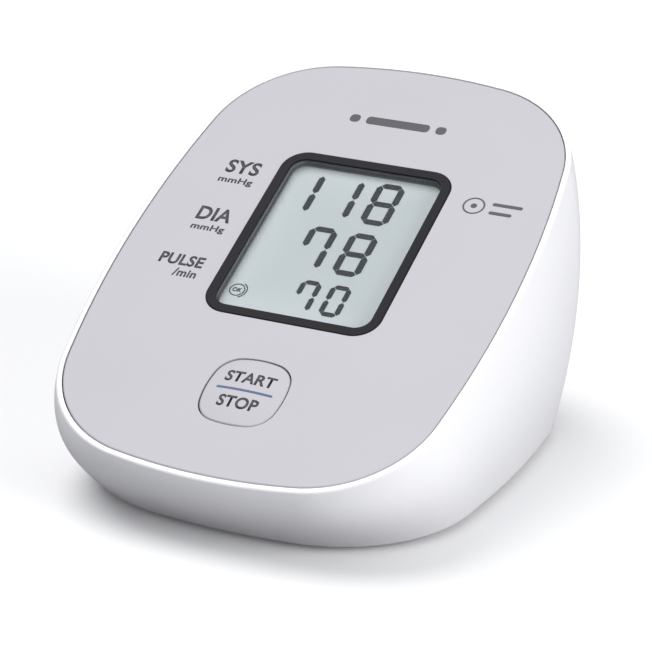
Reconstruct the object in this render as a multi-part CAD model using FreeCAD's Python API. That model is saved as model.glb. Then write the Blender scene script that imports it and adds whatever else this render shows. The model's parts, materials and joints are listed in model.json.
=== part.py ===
import FreeCAD
import Part
import math
import os
from FreeCAD import Placement, Rotation, Vector

# Upper arm blood pressure monitor: the desktop unit, without its cuff and air hose.
# A wedge shaped white housing carries a light grey front panel that slopes towards the user.
# Frame: +X right, +Y away from the user, +Z up, in millimetres. The origin is the centre of
# the rectangle that the unit covers on the table, at table height.
# Panel frame: u = +X, v = up the slope, w = out of the panel. w is 0 on the panel's face.

# overall size
overall_width = 103.0
overall_depth = 129.0
overall_height = 80.0
front_height = 17.9  # from the table to the lowest edge of the sloping rim
side_swell = 1.55  # how far each side stands out past the rim
front_margin = 0.6
rear_overhang = 8.0
foot_height = 1.0

# front panel
panel_side_radius = 266.0
panel_end_radius = 135.0
panel_corner_radius = 28.8
panel_thickness = 2.4
panel_edge_round = 0.4
panel_gap = 0.25
lip_inset = 1.4
lip_wall = 1.2
lip_depth = 2.2
lip_play = 0.1

# housing
rim_width = 1.2
rim_round = 0.5
rim_corner_radius = 29.8
wall = 2.2
floor_thickness = 2.2
base_inset = 2.35
front_undercut = 12.0
rear_undercut = 4.3
base_corner_radius = 34.0
base_edge_round = 2.5
front_bulge = 3.3
section_steps = (0.0, 0.3, 0.65, 1.0)

# case screws, driven up through posts into bosses under the front panel
screw_front_inset = (13.6, 19.5)
screw_rear_inset = (7.6, 27.2)
front_post_top = 15.0
rear_post_top = 38.0
post_radius = 4.8
boss_radius = 3.6
screw_radius = 1.5
screw_head_radius = 2.8
screw_head_height = 2.0
screw_length = 12.0
screw_play = 0.15
cross_half_width = 0.4
cross_half_length = 1.8
seat_thickness = 3.0
head_play = 0.4

# feet
foot_radius = 5.0
foot_sink = 1.0
foot_round = 0.4
foot_front_inset = (21.6, 11.5)
foot_rear_inset = 46.2
foot_door_gap = 2.6

# battery cells and their well
cell_radius = 7.1
cell_length = 50.5
cell_count = 4
cell_gap = 0.8
cell_round = 0.6
nub_radius = 2.7
nub_length = 1.4
spring_length = 4.7
spring_wire = 0.35
spring_small = 2.2
spring_large = 3.6
contact_thickness = 0.4
contact_height = 9.0
contact_inset = 0.6
spring_turns = 4
spring_play = 0.1
tab_half_width = 1.0
tab_play = 0.4
well_wall = 2.4
well_side_play = 1.0
well_front = -9.5
cell_lift = 0.3
cell_head_room = 0.5

# battery door
door_thickness = 2.0
door_overlap = 0.8
door_gap = 0.4
door_edge_round = 0.4
pin_radius = 0.6
pin_play = 0.05
pin_reach = 1.4
latch_width = 5.0
latch_height = 3.0
latch_thickness = 1.0
latch_play = 0.5
notch_depth = 1.2
notch_width = 16.0
notch_length = 5.0
grip_count = 3
grip_pitch = 2.0
grip_width = 1.0
grip_depth = 0.5

# display
bezel_half_width = 22.0
bezel_half_length = 27.2
bezel_corner = 6.2
bezel_centre_v = 6.7
bezel_ring = 2.5
bezel_proud = 0.15
bezel_edge_round = 0.3
bezel_flange = 1.3
bezel_flange_thickness = 1.0
bezel_play = 0.1
pane_drop = 0.4
pane_thickness = 1.0
pane_ledge = 0.4
pane_ledge_thickness = 0.5
glass_thickness = 2.2
glass_margin = 0.6
glass_play = 0.2
glass_drop = 0.1
holder_wall = 1.6
holder_play = 0.2
holder_shelf = 1.6
holder_shelf_thickness = 1.0
strip_thickness = 1.8
strip_inset = 3.0
strip_half_width = 17.0

# start and stop key
key_half_width = 9.5
key_half_length = 9.6
key_side_radius = 24.0
key_corner_radius = 6.0
key_inset = 24.4  # from the lower end of the panel to the key's centre
key_gap = 0.3
key_rise = 0.6
key_dome_radius = 75.0
key_edge_round = 0.4
key_wall = 1.2
key_cap = 1.0
key_flange = 1.2
key_flange_thickness = 1.0
key_stem_radius = 1.8

# main board
board_drop = 10.4  # from the panel's face to the board's upper side
board_thickness = 1.6
board_half_width = 29.5
board_lead_margin = 1.3  # from a battery lead to the edge of the board
board_below_key = 12.1
board_high_v = 46.0
board_corner = 2.0
board_screw_radius = 1.0
board_screw_head = 2.0
board_screw_head_height = 1.3
board_screw_length = 6.0
board_boss_radius = 2.5
board_screw_places = ((-19.0, 42.0), (19.0, 42.0), (-26.0, -28.0), (26.0, -28.0))
switch_half_size = 3.0
switch_height = 3.5
plunger_cap_radius = 1.7
plunger_cap_rise = 0.8
plunger_cap_depth = 1.6
plunger_cap_play = 0.3
chip_half_size = 7.0
chip_thickness = 1.5
chip_legs = 12
chip_leg_width = 0.4
chip_leg_reach = 1.2
chip_leg_inset = 0.8
chip_leg_root = 0.3
chip_lift = 0.2
capacitor_radius = 3.2
capacitor_height = 7.0
capacitor_places = ((14.0, -20.0), (-14.0, -20.0))
buzzer_radius = 6.0
buzzer_height = 6.0
buzzer_place = (-14.0, -42.0)
crystal_half = (5.0, 1.8)
crystal_height = 3.2
crystal_corner = 1.7
crystal_place = (15.5, 4.0)
small_chip_half = (2.5, 2.0)
small_chip_places = ((-8.0, 24.0), (8.0, 24.0), (18.0, -6.0), (-20.0, -8.0))

# pump, lying along X above the battery well
pump_y = 36.0
pump_radius = 13.0
pump_cap_length = 7.0
pump_case_length = 13.0
pump_wall = 1.6
pump_cap_round = 1.0
neck_length = 0.5
diaphragm_thickness = 1.0
diaphragm_inset = 0.3
cup_radius = 2.9
cup_depth = 2.4
cup_wall = 0.6
cup_circle = 6.0
cup_count = 3
cup_room = 0.2
pump_screw_radius = 0.9
pump_screw_head = 1.7
pump_screw_circle = 10.7
pump_screw_length = 14.0
pump_screw_head_height = 1.5
pump_screw_socket = 0.7
pump_screw_play = 0.1
pump_post_wall = 0.9
motor_length = 32.0
motor_radius = 12.2
motor_wall = 1.0
motor_round = 1.0
magnet_thickness = 2.6
magnet_angle = 140.0
rotor_gap = 0.5
rotor_length = 15.0
rotor_end_gap = 1.0
rotor_slots = 3
slot_width = 1.8
slot_depth = 4.0
commutator_radius = 3.0
commutator_length = 4.0
shaft_radius = 1.0
shaft_play = 0.03
shaft_proud = 0.4
bushing_radius = 3.0
bushing_length = 2.6
bushing_proud = 0.6
bushing_play = 0.3
crank_radius = 4.4
crank_length = 3.0
crank_offset = 1.6
crank_pin_radius = 0.7
crank_pin_length = 2.4
crank_web = 1.0
driver_thickness = 1.4
driver_play = 0.4
driver_hub_wall = 1.2
driver_arm_inset = 1.0
driver_link_half_width = 1.6
driver_stud_radius = 0.9
terminal_thickness = 0.5
terminal_length = 2.4
terminal_rise = 6.0
terminal_half_width = 1.0
sleeve_thickness = 1.4
sleeve_length = 8.0
sleeve_places = (3.0, 17.0)  # from the front end of the motor
saddle_half_width = 11.0
saddle_height = 6.0
saddle_floor = 0.6

# air path
tube_outer = 2.3
tube_inner = 1.5
tube_bend = 8.0
nipple_length = 2.6
passage_radius = 0.7
air_x = -23.5
air_y = 15.0
manifold_size = 7.0
manifold_lift = 2.0
jack_radius = 6.0
jack_bore_radius = 4.0
jack_bore_depth = 12.0
jack_length = 14.3
jack_flange_radius = 7.2
jack_flange_thickness = 1.4
jack_play = 0.1
jack_round = 0.3
sensor_half = (4.5, 5.0)
sensor_height = 3.0
sensor_skin = 1.0
sensor_reach = 9.0  # from the board to the bend in the sensor's tube

# quick exhaust valve, standing on the battery well
valve_x = 26.0
valve_half_width = 6.5
valve_half_depth = 6.0
valve_base_height = 9.0
valve_plate = 1.0
yoke_inset = 1.0
bowl_depth = 2.0
bowl_play = 1.6
vent_radius = 1.2
vent_rise = 1.3
coil_radius = 5.0
coil_wall = 0.6
coil_length = 9.0
winding_inset = 0.3
plunger_radius = 2.1
plunger_play = 0.3
plunger_length = 6.0
seal_thickness = 1.0
seal_gap = 0.1
seat_inset = 0.5
valve_spring_radius = 1.4
valve_spring_end_radius = 1.2
valve_spring_wire = 0.25
valve_spring_turns = 3

# mains adapter socket
socket_x = -14.0
socket_z = 28.0
socket_half_width = 4.5
socket_half_height = 5.5
socket_length = 10.5
socket_bore_radius = 2.7
socket_bore_depth = 9.0
socket_pin_radius = 0.8
socket_opening_radius = 4.4
collar_length = 0.8
collar_play = 0.3
socket_pin_short = 1.2
socket_drop = 3.0  # from the rearmost point of the housing to the socket's face

# wires
lead_radius = 0.6
lead_bend = 3.0
motor_lead_v = 32.0
battery_lead_inset = 3.0  # from the upper end of the board
battery_lead_start = 1.0

# label on the underside
label_half_width = 26.0
label_front = -34.0
label_rear = -17.5
label_thickness = 0.2
label_corner = 1.5

# places and sizes that follow from the ones above
rim_run = overall_depth - front_margin - rear_overhang
rim_rise = overall_height - front_height
tilt = math.atan2(rim_rise, rim_run)
rim_half_width = overall_width / 2 - side_swell
rim_half_length = math.hypot(rim_run, rim_rise) / 2
panel_half_width = rim_half_width - rim_width - panel_gap
panel_half_length = rim_half_length - rim_width - panel_gap
panel_y = -overall_depth / 2 + front_margin + rim_run / 2
panel_z = overall_height - rim_rise / 2
base_half_width = rim_half_width - base_inset
base_front = overall_depth / 2 - front_undercut
base_rear = overall_depth / 2 - rear_undercut
case_screws = (  # x, y and the height of the post's top
    (base_half_width - screw_front_inset[0], screw_front_inset[1] - base_front, front_post_top),
    (base_half_width - screw_rear_inset[0], base_rear - screw_rear_inset[1], rear_post_top),
)
key_centre_v = key_inset - panel_half_length
board_low_v = key_centre_v - board_below_key
door_top = foot_height + door_thickness
cell_z = door_top + cell_lift + cell_radius
cell_pitch = 2 * cell_radius + cell_gap
well_half_width = cell_pitch * (cell_count - 1) / 2 + cell_radius + well_side_play
well_rear = well_front + cell_length + spring_length + 2 * contact_thickness
well_ceiling = cell_z + cell_radius + cell_head_room
well_top = well_ceiling + well_wall / 2
door_half_width = well_half_width + door_overlap
door_front = well_front - door_overlap
foot_places = (
    (base_half_width - foot_front_inset[0], foot_front_inset[1] - base_front),
    (door_half_width + foot_door_gap + foot_radius, base_rear - foot_rear_inset),
)
lead_x = well_half_width - terminal_length
hinge_y = well_rear + door_overlap - door_thickness / 2
hinge_z = foot_height + door_thickness / 2
pump_z = well_top + motor_radius + sleeve_thickness + saddle_floor
air_z = well_top + manifold_lift + manifold_size / 2
neck_reach = math.sqrt(pump_radius ** 2 - (pump_z - air_z - tube_outer) ** 2) + neck_length
sensor_y = air_y - sensor_reach * math.sin(tilt)
sensor_v = (sensor_y - panel_y - (board_drop + board_thickness) * math.sin(tilt)) / math.cos(tilt)
cap_x = air_x - pump_cap_length / 2
case_x = cap_x + pump_cap_length + diaphragm_thickness
motor_x = case_x + pump_case_length
valve_y = air_y
board_low_w = -board_drop - board_thickness
window_half_width = bezel_half_width - bezel_ring
window_half_length = bezel_half_length - bezel_ring
window_corner = bezel_corner - bezel_ring
pane_low = -pane_drop - pane_thickness
glass_top = pane_low - pane_ledge_thickness - glass_drop
glass_low = glass_top - glass_thickness
glass_half_width = window_half_width + glass_margin
glass_half_length = window_half_length + glass_margin
glass_corner = window_corner + glass_margin
holder_top = -panel_thickness - bezel_flange_thickness - holder_play
holder_half_width = glass_half_width + holder_play + holder_wall
holder_half_length = glass_half_length + holder_play + holder_wall
switch_top = switch_height - board_drop
stem_low = switch_top + plunger_cap_rise

UP = (0, 0, 1)
RIGHT = (1, 0, 0)
LEFT = (-1, 0, 0)
BACK = (0, 1, 0)
FORWARD = (0, -1, 0)
HEIGHT_TOLERANCE = 0.02


def outline(half_width, half_length, side_radius, end_radius, corner_radius, inset=0.0):
    """A closed outline of eight arcs that meet smoothly, about the origin in the XY plane."""
    a = half_width - inset
    b = half_length - inset
    corner = corner_radius - inset
    side = Vector(half_width - side_radius, 0, 0)
    end = Vector(0, half_length - end_radius, 0)
    apart = end - side
    to_side = side_radius - corner_radius
    to_end = end_radius - corner_radius
    along = (to_side ** 2 - to_end ** 2 + apart.Length ** 2) / (2 * apart.Length)
    across = math.sqrt(to_side ** 2 - along ** 2)
    unit = Vector(apart).normalize()
    centre = side + unit * along + Vector(-unit.y, unit.x, 0) * across
    low = centre + (centre - side).normalize() * corner
    high = centre + (centre - end).normalize() * corner
    middle = centre + ((low - centre) + (high - centre)).normalize() * corner

    def turned(point, x, y):
        return Vector(point.x * x, point.y * y, 0)

    arcs = [
        (turned(low, 1, -1), Vector(a, 0, 0), low),
        (low, middle, high),
        (high, Vector(0, b, 0), turned(high, -1, 1)),
        (turned(high, -1, 1), turned(middle, -1, 1), turned(low, -1, 1)),
        (turned(low, -1, 1), Vector(-a, 0, 0), turned(low, -1, -1)),
        (turned(low, -1, -1), turned(middle, -1, -1), turned(high, -1, -1)),
        (turned(high, -1, -1), Vector(0, -b, 0), turned(high, 1, -1)),
        (turned(high, 1, -1), turned(middle, 1, -1), turned(low, 1, -1)),
    ]
    return Part.Wire([Part.Arc(*points).toShape() for points in arcs])


def panel_outline(inset=0.0):
    return outline(panel_half_width, panel_half_length, panel_side_radius, panel_end_radius,
                   panel_corner_radius, inset)


def key_outline(inset=0.0):
    return outline(key_half_width, key_half_length, key_side_radius, key_side_radius,
                   key_corner_radius, inset)


def prism(wire, low, high):
    """The solid over a flat wire, from height low to height high."""
    solid = Part.Face(wire).extrude(Vector(0, 0, high - low))
    solid.translate(Vector(0, 0, low))
    return solid


def box(x0, x1, y0, y1, z0, z1):
    return Part.makeBox(x1 - x0, y1 - y0, z1 - z0, Vector(x0, y0, z0))


def rounded_box(half_width, half_length, corner, low, high):
    """A block about the Z axis with rounded upright edges."""
    block = box(-half_width, half_width, -half_length, half_length, low, high)
    if corner <= 0:
        return block
    upright = [e for e in block.Edges if e.Vertexes[0].Point.z != e.Vertexes[-1].Point.z]
    return block.makeFillet(corner, upright)


def rod(radius, start, direction, length):
    return Part.makeCylinder(radius, length, Vector(*start), Vector(*direction))


def pipe(outer, inner, start, direction, length):
    return rod(outer, start, direction, length).cut(rod(inner, start, direction, length))


def on_panel(shape, u=0.0, v=0.0):
    """A copy of a shape drawn in the panel frame, moved to (u, v) and laid on the slope."""
    turn = Placement(Vector(0, panel_y, panel_z), Rotation(Vector(1, 0, 0), math.degrees(tilt)))
    moved = shape.copy()
    moved.Placement = turn.multiply(Placement(Vector(u, v, 0), Rotation())).multiply(moved.Placement)
    return moved


def panel_point(u, v, w):
    return Vector(u, panel_y + v * math.cos(tilt) - w * math.sin(tilt),
                  panel_z + v * math.sin(tilt) + w * math.cos(tilt))


def joined(first, *others):
    """One solid from several that meet."""
    return first.fuse(list(others)).removeSplitter()


def swept(points, radius, bend):
    """A round bar along straight runs whose corners are rounded to one radius."""
    corners = [Vector(*p) for p in points]
    edges = []
    start = corners[0]
    for before, corner, after in zip(corners, corners[1:], corners[2:]):
        inward = (before - corner).normalize()
        onward = (after - corner).normalize()
        half = inward.getAngle(onward) / 2
        leave = corner + inward * (bend / math.tan(half))
        meet = corner + onward * (bend / math.tan(half))
        centre = corner + (inward + onward).normalize() * (bend / math.sin(half))
        middle = centre + (corner - centre).normalize() * bend
        edges.append(Part.makeLine(start, leave))
        edges.append(Part.Arc(leave, middle, meet).toShape())
        start = meet
    edges.append(Part.makeLine(start, corners[-1]))
    ring = Part.Wire([Part.Circle(corners[0], corners[1] - corners[0], radius).toShape()])
    return Part.Wire(edges).makePipeShell([ring], True, False)


def coil(start, radius, end_radius, length, turns, wire):
    """A round wire spring standing on start, along +Z."""
    cone = math.degrees(math.atan((end_radius - radius) / length))
    path = Part.makeHelix(length / turns, length, radius, cone)
    ring = Part.Wire([Part.Circle(Vector(radius, 0, 0), Vector(0, 1, 0), wire).toShape()])
    spring = Part.Wire(path.Edges).makePipeShell([ring], True, True)
    spring.translate(Vector(*start))
    return spring


def save(name, *solids):
    shape = solids[0] if len(solids) == 1 else Part.makeCompound(list(solids))
    count = len(shape.Solids)
    assert shape.isValid() and count, name
    for solid in shape.Solids:
        assert solid.Volume > 0, name
    shape.exportStep(f"parts/{name}.step")
    print(f"{name}: {count} solid(s), {shape.Volume / 1000:.2f} cm3")


def bulged(base, rim, bulge, step):
    return base + (rim - base) * step + 4 * bulge * step * (1 - step)


def shell_section(step, inset=0.0, lift=0.0):
    """The housing's outline at a step from its base, 0, to its rim, 1."""
    rim_front = panel_y - rim_half_length * math.cos(tilt)
    rim_rear = panel_y + rim_half_length * math.cos(tilt)
    side_bulge = overall_width / 2 - (base_half_width + rim_half_width) / 2
    rear_bulge = overall_depth / 2 - (base_rear + rim_rear) / 2
    half_width = bulged(base_half_width, rim_half_width, side_bulge, step)
    front = bulged(-base_front, rim_front, -front_bulge, step)
    rear = bulged(base_rear, rim_rear, rear_bulge, step)
    corner = base_corner_radius + (rim_corner_radius - base_corner_radius) * step
    middle = (front + rear) / 2
    slope = math.atan(step * math.tan(tilt))
    height = foot_height + step * (panel_z - foot_height + (middle - panel_y) * math.tan(tilt))
    wire = outline(half_width, (rear - front) / 2 / math.cos(slope), panel_side_radius,
                   panel_end_radius, corner, inset)
    wire.Placement = Placement(Vector(0, middle, height + lift),
                               Rotation(Vector(1, 0, 0), math.degrees(slope)))
    return wire


def edges_at(shape, height_of, at):
    """Edges whose ends and middle all lie at one height."""
    found = []
    for edge in shape.Edges:
        middle = edge.valueAt((edge.FirstParameter + edge.LastParameter) / 2)
        points = [v.Point for v in edge.Vertexes] + [middle]
        if all(abs(height_of(p) - at) < HEIGHT_TOLERANCE for p in points):
            found.append(edge)
    return found


def above_panel(point):
    return -(point.y - panel_y) * math.sin(tilt) + (point.z - panel_z) * math.cos(tilt)


def housing_solid():
    solid = Part.makeLoft([shell_section(s) for s in section_steps], True, False)
    solid = solid.makeFillet(base_edge_round, edges_at(solid, lambda p: p.z, foot_height))
    return solid.makeFillet(rim_round, edges_at(solid, above_panel, 0.0))


def housing_hollow(play=0.0):
    sections = [shell_section(section_steps[0], wall + play, floor_thickness + play)]
    sections += [shell_section(s, wall + play) for s in section_steps[1:]]
    return Part.makeLoft(sections, True, False)


def four_corners(places):
    return [(x * side, y, *rest) for x, y, *rest in places for side in (1, -1)]


def below_panel(shape):
    """The part of a shape that lies under the middle of the front panel's thickness."""
    reach = 2 * overall_depth
    space = box(-reach, reach, -reach, reach, -reach, -panel_thickness / 2)
    return shape.common(on_panel(space))


def front_panel():
    low = -panel_thickness
    plate = prism(panel_outline(), low, 0)
    plate = plate.makeFillet(panel_edge_round, edges_at(plate, lambda p: p.z, 0))
    lip = prism(panel_outline(lip_inset), low - lip_depth, low)
    lip = lip.cut(prism(panel_outline(lip_inset + lip_wall), low - lip_depth, low))
    bosses = [rod(board_boss_radius, (u, v, -board_drop), UP, board_drop + low)
              for u, v in board_screw_places]
    plate = joined(plate, *bosses)
    window = rounded_box(bezel_half_width, bezel_half_length, bezel_corner, low, 0)
    plate = plate.cut(window.translated(Vector(0, bezel_centre_v, 0)))
    opening = prism(key_outline(-key_gap), low, 0)
    plate = plate.cut(opening.translated(Vector(0, key_centre_v, 0)))
    for u, v in board_screw_places:
        hole_length = board_screw_length - board_thickness
        plate = plate.cut(rod(board_screw_radius, (u, v, -board_drop), UP, hole_length))
    plate = on_panel(plate).fuse(on_panel(lip).common(housing_hollow(lip_play)))
    for x, y, top in four_corners(case_screws):
        plate = plate.fuse(below_panel(rod(boss_radius, (x, y, top), UP, overall_height)))
    for x, y, top in four_corners(case_screws):
        plate = plate.cut(rod(screw_radius, (x, y, top), UP, screw_length - seat_thickness))
    return plate.removeSplitter()


def battery_well():
    """The walls and roof around the cells."""
    return box(-well_half_width - well_wall, well_half_width + well_wall, well_front - well_wall,
               well_rear + well_wall, foot_height, well_top)


def battery_space():
    space = box(-well_half_width, well_half_width, well_front, well_rear, foot_height,
                well_ceiling)
    gap = door_overlap + door_gap
    opening = box(-well_half_width - gap, well_half_width + gap, well_front - gap,
                  well_rear + gap, foot_height, door_top + cell_lift)
    notch = box(-notch_width / 2, notch_width / 2, well_front - gap - notch_length, well_front,
                foot_height, foot_height + notch_depth)
    reach = door_half_width + pin_reach + pin_play
    pins = rod(pin_radius + pin_play, (-reach, hinge_y, hinge_z), RIGHT, 2 * reach)
    return space.fuse([opening, notch, pins])


def tab_slots():
    """Openings in the roof of the well that let the two end contacts through."""
    cuts = []
    for side in (1, -1):
        x = side * lead_x
        half = tab_half_width + tab_play
        cuts.append(box(x - half, x + half, well_rear - 2 * contact_thickness, well_rear,
                        well_ceiling, well_top))
    return cuts


def pump_saddles():
    """Two ribs on the well that carry the pump's rubber sleeves."""
    ribs = []
    for place in sleeve_places:
        x = motor_x + place
        rib = box(x, x + sleeve_length, pump_y - saddle_half_width, pump_y + saddle_half_width,
                  well_top, well_top + saddle_height)
        ribs.append(rib.cut(rod(motor_radius + sleeve_thickness, (x, pump_y, pump_z), RIGHT,
                                sleeve_length)))
    return ribs


def socket_face_y():
    return overall_depth / 2 - socket_drop


def socket_shelf():
    return box(socket_x - socket_half_width, socket_x + socket_half_width,
               socket_face_y() - socket_length, socket_face_y(), foot_height,
               socket_z - socket_half_height)


def housing_tub():
    outer = housing_solid()
    inner = housing_hollow()
    pocket = prism(panel_outline(-panel_gap), -panel_thickness, 2 * panel_thickness)
    posts = [rod(post_radius, (x, y, foot_height), UP, top - foot_height)
             for x, y, top in four_corners(case_screws)]
    inside = [battery_well(), socket_shelf(), *posts, *pump_saddles()]
    for x, y in four_corners(foot_places):
        inside.append(rod(foot_radius + wall / 2, (x, y, foot_height), UP,
                          floor_thickness + foot_sink))
    inside = [shape.common(outer) for shape in inside]
    tub = outer.cut(inner).cut(on_panel(pocket)).fuse(inside)
    cuts = [battery_space(), *tab_slots()]
    for x, y, top in four_corners(case_screws):
        cuts.append(rod(screw_head_radius + head_play, (x, y, 0), UP, top - seat_thickness))
        cuts.append(rod(screw_radius + screw_play, (x, y, 0), UP, overall_height))
    for x, y in four_corners(foot_places):
        cuts.append(rod(foot_radius, (x, y, 0), UP, foot_height + foot_sink))
    jack_x = -overall_width / 2
    cuts.append(rod(jack_flange_radius + jack_play, (2 * jack_x, air_y, air_z), RIGHT,
                    jack_flange_thickness - jack_x))
    cuts.append(rod(jack_radius + jack_play, (2 * jack_x, air_y, air_z), RIGHT,
                    jack_length - jack_x))
    cuts.append(rod(socket_opening_radius, (socket_x, socket_face_y(), socket_z), BACK,
                    overall_depth))
    block = box(socket_x - socket_half_width, socket_x + socket_half_width,
                socket_face_y() - socket_length, socket_face_y(),
                socket_z - socket_half_height, socket_z + socket_half_height)
    cuts.append(block)
    return tub.cut(cuts).removeSplitter()


def rubber_feet():
    feet = []
    for x, y in four_corners(foot_places):
        foot = rod(foot_radius, (x, y, 0), UP, foot_height + foot_sink)
        feet.append(foot.makeFillet(foot_round, edges_at(foot, lambda p: p.z, 0)))
    return feet


def case_screw_set():
    screws = []
    for x, y, top in four_corners(case_screws):
        seat = top - seat_thickness
        head = rod(screw_head_radius, (x, y, seat - screw_head_height), UP, screw_head_height)
        cross = [box(-w, w, -d, d, 0, screw_head_height / 2)
                 for w, d in ((cross_half_width, cross_half_length),
                              (cross_half_length, cross_half_width))]
        for slot in cross:
            slot.translate(Vector(x, y, seat - screw_head_height))
            head = head.cut(slot)
        screws.append(joined(head, rod(screw_radius, (x, y, seat), UP, screw_length)))
    return screws


def battery_door():
    plate = box(-door_half_width, door_half_width, door_front, hinge_y, foot_height, door_top)
    low_edges = [e for e in edges_at(plate, lambda p: p.z, foot_height)
                 if e.BoundBox.YMin < hinge_y - door_thickness / 2]
    plate = plate.makeFillet(door_edge_round, low_edges)
    heel = rod(door_thickness / 2, (-door_half_width, hinge_y, hinge_z), RIGHT,
               2 * door_half_width)
    reach = door_half_width + pin_reach
    pins = rod(pin_radius, (-reach, hinge_y, hinge_z), RIGHT, 2 * reach)
    latch = box(-latch_width / 2, latch_width / 2, well_front + latch_play,
                well_front + latch_play + latch_thickness, door_top, door_top + latch_height)
    grips = []
    for index in range(grip_count):
        y = door_front + (index + 1) * grip_pitch
        grips.append(box(-notch_width / 2, notch_width / 2, y, y + grip_width, foot_height,
                         foot_height + grip_depth))
    return joined(plate, heel, pins, latch).cut(grips)


def cell_x(index):
    return (index - (cell_count - 1) / 2) * cell_pitch


def battery_cells():
    """Every other cell is turned round, so that the set is wired in series."""
    cells = []
    for index in range(cell_count):
        can = rod(cell_radius, (0, 0, 0), BACK, cell_length - nub_length)
        can = can.makeFillet(cell_round, [e for e in can.Edges if e.Closed])
        cell = joined(can, rod(nub_radius, (0, cell_length - nub_length, 0), BACK, nub_length))
        if index % 2 == 0:
            cell.rotate(Vector(0, 0, 0), Vector(0, 0, 1), 180)
            cell.translate(Vector(cell_x(index), well_front + contact_thickness + cell_length,
                                  cell_z))
        else:
            cell.translate(Vector(cell_x(index), well_rear - contact_thickness - cell_length,
                                  cell_z))
        cells.append(cell)
    return cells


def battery_springs():
    springs = []
    length = spring_length - 2 * spring_wire - spring_play
    for index in range(cell_count):
        spring = coil((0, 0, spring_wire), spring_large, spring_small, length, spring_turns,
                      spring_wire)
        if index % 2 == 0:
            spring.rotate(Vector(0, 0, 0), Vector(1, 0, 0), 90)
            spring.translate(Vector(cell_x(index), well_rear - contact_thickness, cell_z))
        else:
            spring.rotate(Vector(0, 0, 0), Vector(1, 0, 0), -90)
            spring.translate(Vector(cell_x(index), well_front + contact_thickness, cell_z))
        springs.append(spring)
    return springs


def contact_plate(x0, x1, y0):
    return box(x0, x1, y0, y0 + contact_thickness, cell_z - contact_height / 2,
               cell_z + contact_height / 2)


def battery_contacts():
    """Two linking plates in front, one linking plate and two end plates behind."""
    reach = cell_radius - contact_inset
    rear = well_rear - contact_thickness
    plates = [contact_plate(cell_x(i) - reach, cell_x(i + 1) + reach, well_front) for i in (0, 2)]
    plates.append(contact_plate(cell_x(1) - reach, cell_x(2) + reach, rear))
    for side in (1, -1):
        inner = side * (cell_x(3) - reach)
        edge = side * (lead_x + tab_half_width)
        plate = contact_plate(min(inner, edge), max(inner, edge), rear)
        tab = box(side * lead_x - tab_half_width, side * lead_x + tab_half_width, rear, well_rear, cell_z,
                  well_top + 2 * terminal_length)
        plates.append(joined(plate, tab))
    return plates


def lcd_bezel():
    low = -panel_thickness
    play = bezel_play
    ring = rounded_box(bezel_half_width - play, bezel_half_length - play, bezel_corner - play,
                       low, bezel_proud)
    ring = ring.makeFillet(bezel_edge_round, edges_at(ring, lambda p: p.z, bezel_proud))
    flange = rounded_box(bezel_half_width + bezel_flange, bezel_half_length + bezel_flange,
                         bezel_corner + bezel_flange, low - bezel_flange_thickness, low)
    back = low - bezel_flange_thickness
    seat = rounded_box(window_half_width, window_half_length, window_corner, pane_low,
                       2 * bezel_proud)
    sight = rounded_box(window_half_width - pane_ledge, window_half_length - pane_ledge,
                        window_corner - pane_ledge, back, pane_low)
    nest = rounded_box(glass_half_width + glass_play, glass_half_length + glass_play,
                       glass_corner + glass_play, back, pane_low - pane_ledge_thickness)
    return on_panel(joined(ring, flange).cut([seat, sight, nest]), 0, bezel_centre_v)


def display_window():
    pane = rounded_box(window_half_width - bezel_play, window_half_length - bezel_play,
                       window_corner - bezel_play, pane_low, -pane_drop)
    return on_panel(pane, 0, bezel_centre_v)


def lcd_glass():
    glass = rounded_box(glass_half_width, glass_half_length, glass_corner, glass_low, glass_top)
    return on_panel(glass, 0, bezel_centre_v)


def lcd_holder():
    """A frame on the board that carries the glass on a shelf."""
    low = -board_drop
    frame = rounded_box(holder_half_width, holder_half_length, holder_wall, low, holder_top)
    frame = frame.cut(rounded_box(glass_half_width + holder_play, glass_half_length + holder_play,
                                  0, glass_low, holder_top))
    frame = frame.cut(rounded_box(glass_half_width - holder_shelf,
                                  glass_half_length - holder_shelf, 0, low, glass_low))
    hollow = rounded_box(glass_half_width + holder_play, glass_half_length + holder_play, 0, low,
                         glass_low - holder_shelf_thickness)
    return on_panel(frame.cut(hollow), 0, bezel_centre_v)


def contact_strip():
    """The rubber strip that joins the glass to the board."""
    v = bezel_centre_v - glass_half_length + strip_inset
    strip = box(-strip_half_width, strip_half_width, v - strip_thickness / 2,
                v + strip_thickness / 2, -board_drop, glass_low)
    return on_panel(strip)


def start_stop_key():
    flange_top = -panel_thickness - key_gap
    low = flange_top - key_flange_thickness
    cap = prism(key_outline(), low, 2 * key_rise)
    dome = Part.makeSphere(key_dome_radius)
    dome.rotate(Vector(0, 0, 0), Vector(0, 1, 0), 90)  # its seam now lies underneath
    dome.translate(Vector(0, 0, key_rise - key_dome_radius))
    cap = cap.common(dome).Solids[0]
    rim = [e for e in cap.Edges if e.BoundBox.ZMin > -key_cap]
    cap = cap.makeFillet(key_edge_round, rim)
    flange = prism(key_outline(-key_flange), low, flange_top)
    inside = prism(key_outline(key_wall), low, -key_cap)
    stem = rod(key_stem_radius, (0, 0, stem_low), UP, -key_cap - stem_low + key_cap / 2)
    return on_panel(joined(cap.fuse(flange).cut(inside), stem), 0, key_centre_v)


def switch_body():
    body = rounded_box(switch_half_size, switch_half_size, 0, -board_drop, switch_top)
    depth = plunger_cap_depth + 3 * plunger_cap_play
    well = rod(plunger_cap_radius + plunger_cap_play, (0, 0, switch_top - depth), UP, depth)
    return on_panel(body.cut(well), 0, key_centre_v)


def switch_plunger():
    plunger = rod(plunger_cap_radius, (0, 0, switch_top - plunger_cap_depth), UP,
                  plunger_cap_depth + plunger_cap_rise)
    return on_panel(plunger, 0, key_centre_v)


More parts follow.
